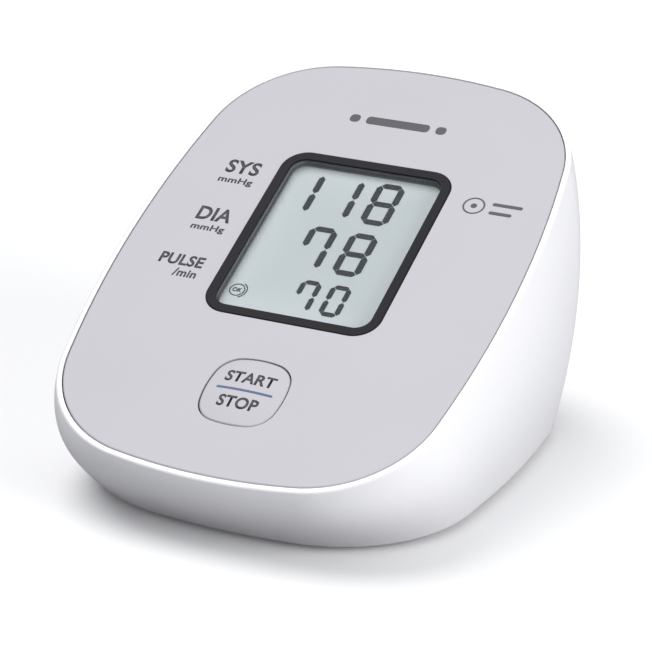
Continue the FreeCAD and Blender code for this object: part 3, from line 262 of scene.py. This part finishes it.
# finishes of the frame's own nodes, one for each slot in the record
plasticLooks = {
    "white_shell": dict(colour=(0.88, 0.88, 0.90), roughness=0.30, drift=0.04, bump=0.05,
                        coat=0.15),
    "grey_panel": dict(colour=(0.500, 0.492, 0.524), roughness=0.5, drift=0.05, bump=0.18),
    "black_plastic": dict(colour=(0.030, 0.030, 0.034), roughness=0.46, drift=0.2, bump=0.2),
    "inner_plastic": dict(colour=(0.62, 0.60, 0.54), roughness=0.5, drift=0.15, grain=0.6),
    "jack_plastic": dict(colour=(0.30, 0.30, 0.33), roughness=0.42, drift=0.1, grain=0.3),
    "foot_rubber": dict(colour=(0.42, 0.42, 0.43), roughness=0.75, drift=0.2, grain=0.25,
                        bump=0.4),
    "dark_rubber": dict(colour=(0.03, 0.03, 0.03), roughness=0.7, drift=0.2, grain=0.3,
                        bump=0.4),
    "tube_rubber": dict(colour=(0.62, 0.62, 0.58), roughness=0.35, drift=0.2, grain=0.8),
    "chip": dict(colour=(0.02, 0.02, 0.022), roughness=0.55, drift=0.3, grain=0.15, bump=0.3),
    "cell_wrap": dict(colour=(0.05, 0.06, 0.08), roughness=0.22, drift=0.2, grain=1.2, coat=0.5),
    "lead_red": dict(colour=(0.40, 0.02, 0.02), roughness=0.4, drift=0.2, grain=0.5),
    "label": dict(colour=(0.60, 0.61, 0.63), roughness=0.6, drift=0.25, grain=0.2, bump=0.2),
    "board": dict(colour=(0.015, 0.11, 0.045), roughness=0.28, drift=0.4, grain=0.4, coat=0.4),
}
metalLooks = {
    "steel": dict(colour=(0.55, 0.55, 0.56), roughness=0.25),
    "spring_steel": dict(colour=(0.70, 0.70, 0.71), roughness=0.12, line=0.06),
    "aluminium_can": dict(colour=(0.75, 0.75, 0.76), roughness=0.3),
    "brass": dict(colour=(0.75, 0.55, 0.25), roughness=0.25),
    "copper": dict(colour=(0.70, 0.30, 0.14), roughness=0.2, line=0.2),
    "magnet": dict(colour=(0.10, 0.10, 0.11), roughness=0.6, line=0.3),
}
finishes = {name: plastic(name + "Skin", **look) for name, look in plasticLooks.items()}
finishes.update({name: metal(name + "Skin", **look) for name, look in metalLooks.items()})

lcdLook = {
    "middle": (0.405, 0.458, 0.472),
    # painted glow: the colour at the display's rim, paler than its middle
    "edge": (0.50, 0.55, 0.56),
    "halfWidth": 19.0,  # mm
    "halfLength": 24.0,
    "edgePower": 4.0,
    "dotPitch": 0.16,  # mm
    "dotDetail": 1.0,
    "fleck": (0.30, 0.36, 0.36),
    "fleckShare": 0.06,
    "roughness": 0.42,
    "glossSwing": 0.1,
    "bump": 0.05,
}


# the display: a painted glow (paler colour towards its rim) over a fine polariser texture
def displayMaterial(look):
    material, tree, shader = newMaterial("displaySkin")
    coords = addNode(tree, "ShaderNodeTexCoord")
    centred = addNode(tree, "ShaderNodeVectorMath", {"operation": "SUBTRACT"})
    tree.links.new(coords.outputs["Object"], centred.inputs[0])
    centred.inputs[1].default_value = displayCentre
    spans = []
    for direction, half in ((faceRight, look["halfWidth"]), (faceUp, look["halfLength"])):
        along = addNode(tree, "ShaderNodeVectorMath", {"operation": "DOT_PRODUCT"})
        tree.links.new(centred.outputs[0], along.inputs[0])
        along.inputs[1].default_value = direction / (half * mm)
        spans.append(mathNode(tree, "POWER", mathNode(tree, "ABSOLUTE", along.outputs["Value"]),
                              look["edgePower"]))
    # mask of the painted glow, rising towards the display's rim
    rim = mathNode(tree, "MINIMUM", mathNode(tree, "MAXIMUM", *spans), 1.0)
    film = addNode(tree, "ShaderNodeTexNoise",
                   values={"Scale": 1 / mm / look["dotPitch"], "Detail": look["dotDetail"]})
    tree.links.new(coords.outputs["Object"], film.inputs["Vector"])
    colour = mixColour(tree, rim, (*look["middle"], 1), (*look["edge"], 1))
    fleckMask = mathNode(tree, "MULTIPLY", film.outputs[0], look["fleckShare"])
    flecked = mixColour(tree, fleckMask, colour, (*look["fleck"], 1))
    gloss = mathNode(tree, "MULTIPLY_ADD", film.outputs[0], look["glossSwing"], look["roughness"])
    tree.links.new(flecked, shader.inputs["Base Color"])
    tree.links.new(gloss, shader.inputs["Roughness"])
    addBump(tree, shader, film.outputs[0], look["bump"], bumpDepth["fine"])
    return material


windowLook = {"tint": (0.55, 0.60, 0.60), "alpha": 0.018, "roughness": 0.05, "wipes": 0.06,
              "wipeScale": 90.0, "wipeDetail": 5.0}


# the clear window: mostly see-through with faint wipe marks in its gloss
def windowMaterial(look):
    material, tree, shader = newMaterial("windowSkin")
    coords = addNode(tree, "ShaderNodeTexCoord")
    wipes = addNode(tree, "ShaderNodeTexNoise",
                    values={"Scale": look["wipeScale"], "Detail": look["wipeDetail"]})
    tree.links.new(coords.outputs["Object"], wipes.inputs["Vector"])
    smears = mathNode(tree, "MULTIPLY", wipes.outputs[0], look["wipes"])
    tree.links.new(mathNode(tree, "ADD", smears, look["roughness"]), shader.inputs["Roughness"])
    shader.inputs["Base Color"].default_value = (*look["tint"], 1)
    shader.inputs["Alpha"].default_value = look["alpha"]
    return material


# the inner walls' colour is the grey moulding darkened as painted shade in the recess
ringLook = {"black": (0.010, 0.010, 0.012), "wall": (0.12, 0.13, 0.135), "depth": 0.4,
            "drift": 0.2, "grain": 0.25, "roughness": 0.5, "swing": 0.08, "specular": 0.12,
            "bump": 0.25}


# the frame round the window: black print on its face; the walls inside it get a grey moulding colour darkened as
# painted shade
def ringMaterial(look):
    material, tree, shader = newMaterial("ringSkin")
    coords = addNode(tree, "ShaderNodeTexCoord")
    away = addNode(tree, "ShaderNodeVectorMath", {"operation": "SUBTRACT"})
    tree.links.new(coords.outputs["Object"], away.inputs[0])
    away.inputs[1].default_value = displayCentre
    rise = addNode(tree, "ShaderNodeVectorMath", {"operation": "DOT_PRODUCT"})
    tree.links.new(away.outputs[0], rise.inputs[0])
    rise.inputs[1].default_value = faceOut / mm
    # below the face, the walls take the moulding colour darkened as painted shade
    onFace = mathNode(tree, "GREATER_THAN", rise.outputs["Value"], -look["depth"])
    colour = mixColour(tree, onFace, (*look["wall"], 1), (*look["black"], 1))
    skin = addNode(tree, "ShaderNodeGroup", {"node_tree": mouldGroup},
                   {"Drift": look["drift"], "Grain Size": look["grain"],
                    "Roughness": look["roughness"], "Gloss Swing": look["swing"]})
    tree.links.new(colour, skin.inputs["Colour"])
    tree.links.new(skin.outputs["Colour"], shader.inputs["Base Color"])
    tree.links.new(skin.outputs["Roughness"], shader.inputs["Roughness"])
    shader.inputs["Specular IOR Level"].default_value = look["specular"]
    addBump(tree, shader, skin.outputs["Height"], look["bump"], bumpDepth["moulded"])
    return material


finishes["lcd"] = displayMaterial(lcdLook)
finishes["clear_window"] = windowMaterial(windowLook)
for part in frame["record"]["subparts"]:
    node = frame["nodes"][part["node"]]
    for place in node.material_slots:
        place.material = finishes[part["material_slot"]]
frame["nodes"]["lcd_bezel"].material_slots[0].material = ringMaterial(ringLook)
print("finishes on", len(frame["nodes"]), "nodes")


# inks of the prints
inkDark = plastic("darkInk", (0.048, 0.050, 0.058), 0.5, drift=0.3, grain=0.2, bump=0.3)
inkBlue = plastic("blueInk", (0.030, 0.080, 0.20), 0.45, drift=0.2, grain=0.2, bump=0.3)
inkPale = plastic("paleInk", (0.32, 0.33, 0.36), 0.55, drift=0.2, grain=0.2, bump=0.3)
segmentInk = plastic("segmentInk", (0.010, 0.016, 0.021), 0.5, drift=0.25, grain=0.15,
                     bump=0.1, specular=0.15)
inkFilm = 0.03  # mm, how thick a print is
inkLift = 0.005  # mm, how far its underside stands off the face
pressGap = 0.01  # mm, the same on a domed part
segmentFilm = 0.04  # mm, how thick the display's strokes are


def finishPrint(obj, name, ink, body):
    obj.name = name
    obj.data.name = name
    obj.data.materials.clear()
    obj.data.materials.append(ink)
    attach(obj, body)
    return obj


# a flat drawing in the XY plane is sized, centred or set by an edge, and laid on the face
def layFlat(obj, width, height, right, up, out, edge="CENTER"):
    low = Vector([min(c[i] for c in obj.bound_box) for i in range(3)])
    high = Vector([max(c[i] for c in obj.bound_box) for i in range(3)])
    size = high - low
    anchor = {"CENTER": (low.x + high.x) / 2, "RIGHT": high.x, "LEFT": low.x}[edge]
    centre = Matrix.Translation((-anchor, -(low.y + high.y) / 2, 0))
    scale = Matrix.Diagonal((width * mm / size.x, height * mm / size.y, 1, 1))
    obj.matrix_world = facePlace(right, up, out) @ scale @ centre
    return applyPlace(obj)


# a drawing gets its thickness, and on a domed part it is pressed down onto that part first
def thicken(obj, film, target=None):
    pick(obj)
    if target:
        wrap = obj.modifiers.new("press", "SHRINKWRAP")
        wrap.target = target
        wrap.wrap_method = "NEAREST_SURFACEPOINT"
        wrap.wrap_mode = "ABOVE_SURFACE"
        wrap.offset = pressGap * mm
        bpy.ops.object.modifier_apply(modifier="press")
    solid = obj.modifiers.new("film", "SOLIDIFY")
    solid.thickness = film * mm
    solid.offset = 1.0
    bpy.ops.object.modifier_apply(modifier="film")
    bpy.ops.object.mode_set(mode="EDIT")
    bpy.ops.mesh.select_all(action="SELECT")
    bpy.ops.mesh.normals_make_consistent(inside=False)
    bpy.ops.object.mode_set(mode="OBJECT")


curveSteps = 4  # straight runs in each curve of a letter
weldGap = 0.0005  # of the letter size


def flatWords(words, weight, spacing=1.0):
    bpy.ops.object.select_all(action="DESELECT")
    bpy.ops.object.text_add(location=(0, 0, 0))
    obj = bpy.context.object
    obj.data.body = words
    obj.data.size = 1.0
    obj.data.offset = weight
    obj.data.space_character = spacing
    obj.data.resolution_u = curveSteps
    pick(obj)
    bpy.ops.object.convert(target="MESH")
    obj = bpy.context.object
    bpy.ops.object.mode_set(mode="EDIT")
    bpy.ops.mesh.select_all(action="SELECT")
    bpy.ops.mesh.remove_doubles(threshold=weldGap)
    bpy.ops.mesh.quads_convert_to_tris()
    bpy.ops.object.mode_set(mode="OBJECT")
    return obj


# places are mm right of and above the middle of the display, cap heights and widths in mm
faceWords = {
    "upperPressureWord": dict(words="SYS", width=8.7, height=4.5, right=-26.3, up=18.6,
                              weight=0.026),
    "upperPressureUnit": dict(words="mmHg", width=9.0, height=2.5, right=-26.3, up=13.7,
                              weight=0.024),
    "lowerPressureWord": dict(words="DIA", width=8.9, height=4.4, right=-26.3, up=2.1,
                              weight=0.026),
    "lowerPressureUnit": dict(words="mmHg", width=8.7, height=2.5, right=-26.3, up=-2.7,
                              weight=0.024),
    "pulseWord": dict(words="PULSE", width=11.4, height=3.5, right=-26.4, up=-13.7,
                      weight=0.028),
    "pulseUnit": dict(words="/min", width=6.0, height=2.5, right=-26.6, up=-17.6, weight=0.024),
}
faceSpacing = 1.05
for name, look in faceWords.items():
    word = flatWords(look["words"], look["weight"], faceSpacing)
    layFlat(word, look["width"], look["height"], look["right"], look["up"], inkLift, "RIGHT")
    thicken(word, inkFilm)
    finishPrint(word, name, inkDark, "housing")


cornerSteps = 4
ringSteps = 48


# a rounded bar: a plane whose corners are bevelled
def flatBar(length, width, corner, cuts=0):
    bpy.ops.object.select_all(action="DESELECT")
    bpy.ops.mesh.primitive_plane_add(size=1.0)
    obj = bpy.context.object
    obj.scale = (length * mm, width * mm, 1)
    applyPlace(obj)
    bpy.ops.object.mode_set(mode="EDIT")
    bpy.ops.mesh.select_all(action="SELECT")
    bpy.ops.mesh.bevel(offset=corner * mm, segments=cornerSteps, affect="VERTICES")
    bpy.ops.object.mode_set(mode="OBJECT")
    for step in range(1, cuts):  # cross cuts, so that the bar can follow a dome
        x = (step / cuts - 0.5) * length * mm
        bpy.ops.object.mode_set(mode="EDIT")
        bpy.ops.mesh.select_all(action="SELECT")
        bpy.ops.mesh.bisect(plane_co=(x, 0, 0), plane_no=(1, 0, 0))
        bpy.ops.object.mode_set(mode="OBJECT")
    return obj


# a ring: a filled circle, inset, its middle removed, and if wanted a gap in it
def flatRing(radius, stroke, gapStart=0, gapEnd=0):
    bpy.ops.object.select_all(action="DESELECT")
    bpy.ops.mesh.primitive_circle_add(vertices=ringSteps, radius=radius * mm, fill_type="NGON")
    obj = bpy.context.object
    bpy.ops.object.mode_set(mode="EDIT")
    bpy.ops.mesh.select_all(action="SELECT")
    bpy.ops.mesh.inset(thickness=stroke * mm)
    bpy.ops.mesh.delete(type="FACE")
    bpy.ops.object.mode_set(mode="OBJECT")
    if gapEnd > gapStart:
        selectFaces(obj, lambda f: gapStart < math.degrees(
            math.atan2(f.center.y, f.center.x)) < gapEnd)
        bpy.ops.mesh.delete(type="FACE")
        bpy.ops.object.mode_set(mode="OBJECT")
    return obj


def placeFlat(obj, right, up, out, turn=0):
    obj.matrix_world = facePlace(right, up, out) @ Matrix.Rotation(math.radians(turn), 4, "Z")
    return applyPlace(obj)


def joinPieces(pieces):
    bpy.ops.object.select_all(action="DESELECT")
    for piece in pieces:
        piece.select_set(True)
    bpy.context.view_layer.objects.active = pieces[0]
    bpy.ops.object.join()
    return bpy.context.object


# neutral marks: a bar between two dots above the display, a dotted ring and two bars at its right
frontMark = {"right": 0.7, "up": 40.9, "bar": 16.5, "width": 2.6, "dot": 2.6, "gap": 3.0,
             "corner": 1.0}
marks = []
dotShift = frontMark["bar"] / 2 + frontMark["gap"]
for kind, shift in (("bar", 0), ("dot", -dotShift), ("dot", dotShift)):
    bar = flatBar(frontMark[kind], frontMark["width"], frontMark["corner"])
    marks.append(placeFlat(bar, frontMark["right"] + shift, frontMark["up"], inkLift))
mark = joinPieces(marks)
thicken(mark, inkFilm)
finishPrint(mark, "frontMark", inkDark, "housing")

sideMark = {"right": 29.0, "up": 18.4, "radius": 2.7, "stroke": 0.42, "barLeft": 33.2,
            "bars": ((1.4, 7.4), (-1.4, 5.6)), "barWidth": 1.0, "barCorner": 0.45,
            "dot": 1.5, "dotCorner": 0.7}
marks = [placeFlat(flatRing(sideMark["radius"], sideMark["stroke"]), sideMark["right"],
                   sideMark["up"], inkLift),
         placeFlat(flatBar(sideMark["dot"], sideMark["dot"], sideMark["dotCorner"]),
                   sideMark["right"], sideMark["up"], inkLift)]
for up, length in sideMark["bars"]:
    bar = flatBar(length, sideMark["barWidth"], sideMark["barCorner"])
    marks.append(placeFlat(bar, sideMark["barLeft"] + length / 2, sideMark["up"] + up, inkLift))
mark = joinPieces(marks)
thicken(mark, inkFilm)
finishPrint(mark, "sideMark", inkDark, "housing")

# the key's words and its blue line follow its dome
keyNode = frame["nodes"]["start_stop_key"]
keyMiddle = -48.6  # mm above the middle of the display
keyLift = 0.7  # mm off the face, where a print lies before it is pressed onto the dome
keySpacing = 1.04
keyWords = {
    "startWord": dict(words="START", width=12.2, height=3.3, up=3.7, weight=0.026),
    "stopWord": dict(words="STOP", width=9.8, height=3.3, up=-3.6, weight=0.026),
}
for name, look in keyWords.items():
    word = flatWords(look["words"], look["weight"], keySpacing)
    layFlat(word, look["width"], look["height"], 0, keyMiddle + look["up"], keyLift)
    thicken(word, inkFilm, keyNode)
    finishPrint(word, name, inkDark, "start_key")
lineLook = {"length": 13.8, "width": 0.62, "corner": 0.25, "cuts": 14}
keyLine = placeFlat(flatBar(lineLook["length"], lineLook["width"], lineLook["corner"],
                            lineLook["cuts"]), 0, keyMiddle, keyLift)
thicken(keyLine, inkFilm, keyNode)
finishPrint(keyLine, "keyLine", inkBlue, "start_key")
print("prints on the face and the key")


# the digits on the display are made of strokes
# a stroke: a six-sided cell with a tip at each end, pulled long between its tips
def digitStroke(length, width):
    bpy.ops.object.select_all(action="DESELECT")
    bpy.ops.mesh.primitive_circle_add(vertices=6, radius=1.0, fill_type="NGON",
                                      rotation=(0, 0, math.pi / 2))
    obj = applyPlace(bpy.context.object)
    obj.scale = (width * mm, width / math.sqrt(3) * mm, 1)
    applyPlace(obj)
    reach = (length / 2 - width) * mm
    for side in (1, -1):
        selectPoints(obj, lambda co, side=side: co.x * side > 0)
        bpy.ops.transform.translate(value=(side * reach, 0, 0))
        bpy.ops.object.mode_set(mode="OBJECT")
    return obj


# the seven strokes of a digit: right and up of its middle, in half widths and quarter heights,
# and their turn in degrees
strokePlaces = {"top": (0, 2, 0), "middle": (0, 0, 0), "bottom": (0, -2, 0),
                "topLeft": (-1, 1, 90), "topRight": (1, 1, 90),
                "lowLeft": (-1, -1, 90), "lowRight": (1, -1, 90)}
digitStrokes = {
    "0": ("top", "bottom", "topLeft", "topRight", "lowLeft", "lowRight"),
    "1": ("topRight", "lowRight"),
    "7": ("top", "topLeft", "topRight", "lowRight"),
    "8": tuple(strokePlaces),
}
readings = {
    "upperReading": dict(digits="118", right=10.2, up=15.8, cell=7.1, height=13.8, pitch=10.3,
                         stroke=1.6, gap=0.24),
    "lowerReading": dict(digits="78", right=10.2, up=-1.2, cell=7.1, height=13.8, pitch=10.3,
                         stroke=1.6, gap=0.24),
    "pulseReading": dict(digits="70", right=10.5, up=-16.2, cell=5.2, height=9.8, pitch=7.5,
                         stroke=1.28, gap=0.2),
}
glassOut = -1.96  # mm, just above the top of the display glass
for name, look in readings.items():
    strokes = []
    acrossLength = look["cell"] - look["stroke"] - look["gap"]
    alongLength = (look["height"] - look["stroke"]) / 2 - look["gap"]
    for index, digit in enumerate(reversed(look["digits"])):
        middle = look["right"] - look["cell"] / 2 - index * look["pitch"]
        for stroke in digitStrokes[digit]:
            x, y, turn = strokePlaces[stroke]
            piece = digitStroke(alongLength if turn else acrossLength, look["stroke"])
            halfCell = (look["cell"] - look["stroke"]) / 2
            quarter = (look["height"] - look["stroke"]) / 4
            placeFlat(piece, middle + x * halfCell, look["up"] + y * quarter, glassOut, turn)
            strokes.append(piece)
    reading = joinPieces(strokes)
    thicken(reading, segmentFilm)
    finishPrint(reading, name, segmentInk, "housing")

# the fit sign: a ring, an arc outside it on its right, and two letters inside
fitSign = {"right": -16.2, "up": -18.0, "radius": 1.9, "outer": 2.5, "stroke": 0.22,
           "gap": (-175, 60), "turn": -125, "wordWidth": 2.3, "wordHeight": 1.25,
           "wordWeight": 0.012}
signs = [placeFlat(flatRing(fitSign["radius"], fitSign["stroke"]), fitSign["right"],
                   fitSign["up"], glassOut),
         placeFlat(flatRing(fitSign["outer"], fitSign["stroke"], *fitSign["gap"]),
                   fitSign["right"], fitSign["up"], glassOut, fitSign["turn"])]
letters = flatWords("OK", fitSign["wordWeight"])
layFlat(letters, fitSign["wordWidth"], fitSign["wordHeight"], fitSign["right"], fitSign["up"],
        glassOut)
sign = joinPieces([*signs, letters])
thicken(sign, segmentFilm)
finishPrint(sign, "fitSign", segmentInk, "housing")
print("display readings")


# the underside: an arrow on the cell door and lines on the label
def onBase(obj, x, y, z, turn=0):
    place = Matrix.Translation((x, y, z)) @ Matrix.Rotation(math.pi, 4, "X")
    obj.matrix_world = place @ Matrix.Rotation(math.radians(turn), 4, "Z")
    return applyPlace(obj)


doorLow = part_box("battery_door")[0]
labelLow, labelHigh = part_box("underside_label")

doorMark = {"fromFront": 11.0, "length": 5.0, "width": 7.0, "rise": 0.35, "round": 0.5,
            "roundSteps": 3, "gap": 0.02}
drawnWidth, drawnLength = 1.7, 1.5  # about what a three-sided circle of radius 1 measures
bpy.ops.object.select_all(action="DESELECT")
bpy.ops.mesh.primitive_circle_add(vertices=3, radius=1.0, fill_type="NGON")
arrow = bpy.context.object
arrow.scale = (doorMark["width"] / drawnWidth * mm, doorMark["length"] / drawnLength * mm, 1)
applyPlace(arrow)
bpy.ops.object.mode_set(mode="EDIT")
bpy.ops.mesh.select_all(action="SELECT")
bpy.ops.mesh.bevel(offset=doorMark["round"] * mm, segments=doorMark["roundSteps"],
                   affect="VERTICES")
bpy.ops.mesh.extrude_region_move(
    TRANSFORM_OT_translate={"value": (0, 0, doorMark["rise"] * mm)})
bpy.ops.mesh.select_all(action="SELECT")
bpy.ops.mesh.normals_make_consistent(inside=False)
bpy.ops.object.mode_set(mode="OBJECT")
onBase(arrow, 0, doorLow.y + doorMark["fromFront"] * mm, doorLow.z + doorMark["gap"] * mm)
finishPrint(arrow, "doorArrow", finishes["white_shell"], "cell_door")

labelLines = {"rows": ((22.0, 0), (34.0, 1), (28.0, 2), (31.0, 3), (18.0, 4)), "pitch": 2.7,
              "width": 0.7, "corner": 0.2, "inset": 4.0, "fromRear": 2.7, "boxes": 3,
              "boxSize": 4.6, "boxCorner": 0.4, "boxStroke": 0.35, "boxInset": 4.5,
              "boxPitch": 5.3, "film": 0.02}
rows = []
for length, row in labelLines["rows"]:
    bar = flatBar(length, labelLines["width"], labelLines["corner"])
    x = labelLow.x / mm + labelLines["inset"] + length / 2
    y = labelHigh.y / mm - labelLines["fromRear"] - row * labelLines["pitch"]
    rows.append(onBase(bar, x * mm, y * mm, labelLow.z - inkLift * mm))
for index in range(labelLines["boxes"]):
    ring = flatBar(labelLines["boxSize"], labelLines["boxSize"], labelLines["boxCorner"])
    pick(ring)
    bpy.ops.object.mode_set(mode="EDIT")
    bpy.ops.mesh.select_all(action="SELECT")
    bpy.ops.mesh.inset(thickness=labelLines["boxStroke"] * mm)
    bpy.ops.mesh.delete(type="FACE")
    bpy.ops.object.mode_set(mode="OBJECT")
    x = labelHigh.x - labelLines["boxInset"] * mm
    y = (labelLow.y + labelHigh.y) / 2 + (index - 1) * labelLines["boxPitch"] * mm
    rows.append(onBase(ring, x, y, labelLow.z - inkLift * mm))
lines = joinPieces(rows)
thicken(lines, labelLines["film"])
finishPrint(lines, "labelLines", inkPale, "housing")
print("underside")


# a pale paper floor with a slope far behind
floorLook = {"half": 1.6, "rise": 1.2, "bend": 0.5, "colour": (0.93, 0.93, 0.93),
             "bounce": (0.32, 0.32, 0.33), "glow": 0.02,
             "fibreScale": 900.0, "fibreDetail": 3.0, "fibre": (0.8, 0.8, 0.8, 1),
             "fibreShare": 0.04, "roughness": 0.7, "specular": 0.1}
bpy.ops.object.select_all(action="DESELECT")
bpy.ops.mesh.primitive_plane_add(size=2 * floorLook["half"])
floor = bpy.context.object
floor.name = "studioFloor"
selectPoints(floor, lambda co: co.y > 0)
bpy.ops.mesh.select_mode(type="EDGE")
bpy.ops.mesh.extrude_region_move(
    TRANSFORM_OT_translate={"value": (0, floorLook["bend"], floorLook["rise"])})
bpy.ops.object.mode_set(mode="OBJECT")
material, tree, shader = newMaterial("floorPaper")
coords = addNode(tree, "ShaderNodeTexCoord")
fibre = addNode(tree, "ShaderNodeTexNoise",
                values={"Scale": floorLook["fibreScale"], "Detail": floorLook["fibreDetail"]})
tree.links.new(coords.outputs["Object"], fibre.inputs["Vector"])
paper = mixColour(tree, mathNode(tree, "MULTIPLY", fibre.outputs[0], floorLook["fibreShare"]),
                  (*floorLook["colour"], 1), floorLook["fibre"])
ray = addNode(tree, "ShaderNodeLightPath")
seen = mixColour(tree, ray.outputs["Is Camera Ray"], (*floorLook["bounce"], 1), paper)
tree.links.new(seen, shader.inputs["Base Color"])
shader.inputs["Roughness"].default_value = floorLook["roughness"]
shader.inputs["Specular IOR Level"].default_value = floorLook["specular"]
under = addNode(tree, "ShaderNodeNewGeometry")  # from below, the floor lets the view through
solidness = mathNode(tree, "SUBTRACT", 1.0, under.outputs["Backfacing"])
tree.links.new(solidness, shader.inputs["Alpha"])
shader.inputs["Emission Color"].default_value = (1, 1, 1, 1)
shader.inputs["Emission Strength"].default_value = floorLook["glow"]
floor.data.materials.append(material)

# azimuth is measured from straight in front towards the right, distances in metres
studioLights = {
    "skySoft": dict(kind="SUN", azimuth=262, elevation=64, distance=1.5, size=0.8, power=1.9),
    "rightSoft": dict(kind="AREA", azimuth=80, elevation=18, distance=0.9, size=0.6, power=5.8),
}
aim = (cadLow + cadHigh) / 2
for name, look in studioLights.items():
    side = math.radians(look["azimuth"])
    lift = math.radians(look["elevation"])
    away = Vector((math.sin(side) * math.cos(lift), -math.cos(side) * math.cos(lift),
                   math.sin(lift)))
    bpy.ops.object.select_all(action="DESELECT")
    bpy.ops.object.light_add(type=look["kind"], location=aim + away * look["distance"])
    light = bpy.context.object
    light.name = name
    light.rotation_euler = away.to_track_quat("Z", "Y").to_euler()
    if look["kind"] == "SUN":
        light.data.angle = look["size"]  # radians, a wide soft sky
    else:
        light.data.shape = "DISK"
        light.data.size = look["size"]
    light.data.energy = look["power"]

roomLook = {"colour": (0.95, 0.96, 1.0, 1), "strength": 0.49}
scene = bpy.context.scene
world = bpy.data.worlds.new("softRoom")
world.use_nodes = True
sky = world.node_tree.nodes["Background"]
sky.inputs["Color"].default_value = roomLook["colour"]
sky.inputs["Strength"].default_value = roomLook["strength"]
scene.world = world
scene.view_settings.view_transform = "Standard"

# the viewer stands in front and a little to the right, looking down at the face
viewer = {"turn": 24.97, "down": 20.17, "roll": 1.22, "distance": 616.6,
          "aim": (-1.77, -3.44, -0.37), "focal": 146.9, "shift": (0.0218, -0.0442), "near": 0.01}
turn, down, roll = (math.radians(viewer[k]) for k in ("turn", "down", "roll"))
facing = (Matrix.Rotation(turn, 4, "Z") @ Matrix.Rotation(math.pi / 2 - down, 4, "X")
          @ Matrix.Rotation(roll, 4, "Z"))
target = aim + Vector(viewer["aim"]) * mm
eye = target + facing @ Vector((0, 0, viewer["distance"] * mm))
bpy.ops.object.camera_add()
camera = bpy.context.object
camera.matrix_world = Matrix.Translation(eye) @ facing
camera.data.lens = viewer["focal"]
camera.data.shift_x, camera.data.shift_y = viewer["shift"]
camera.data.clip_start = viewer["near"]
scene.camera = camera
print("studio ready")
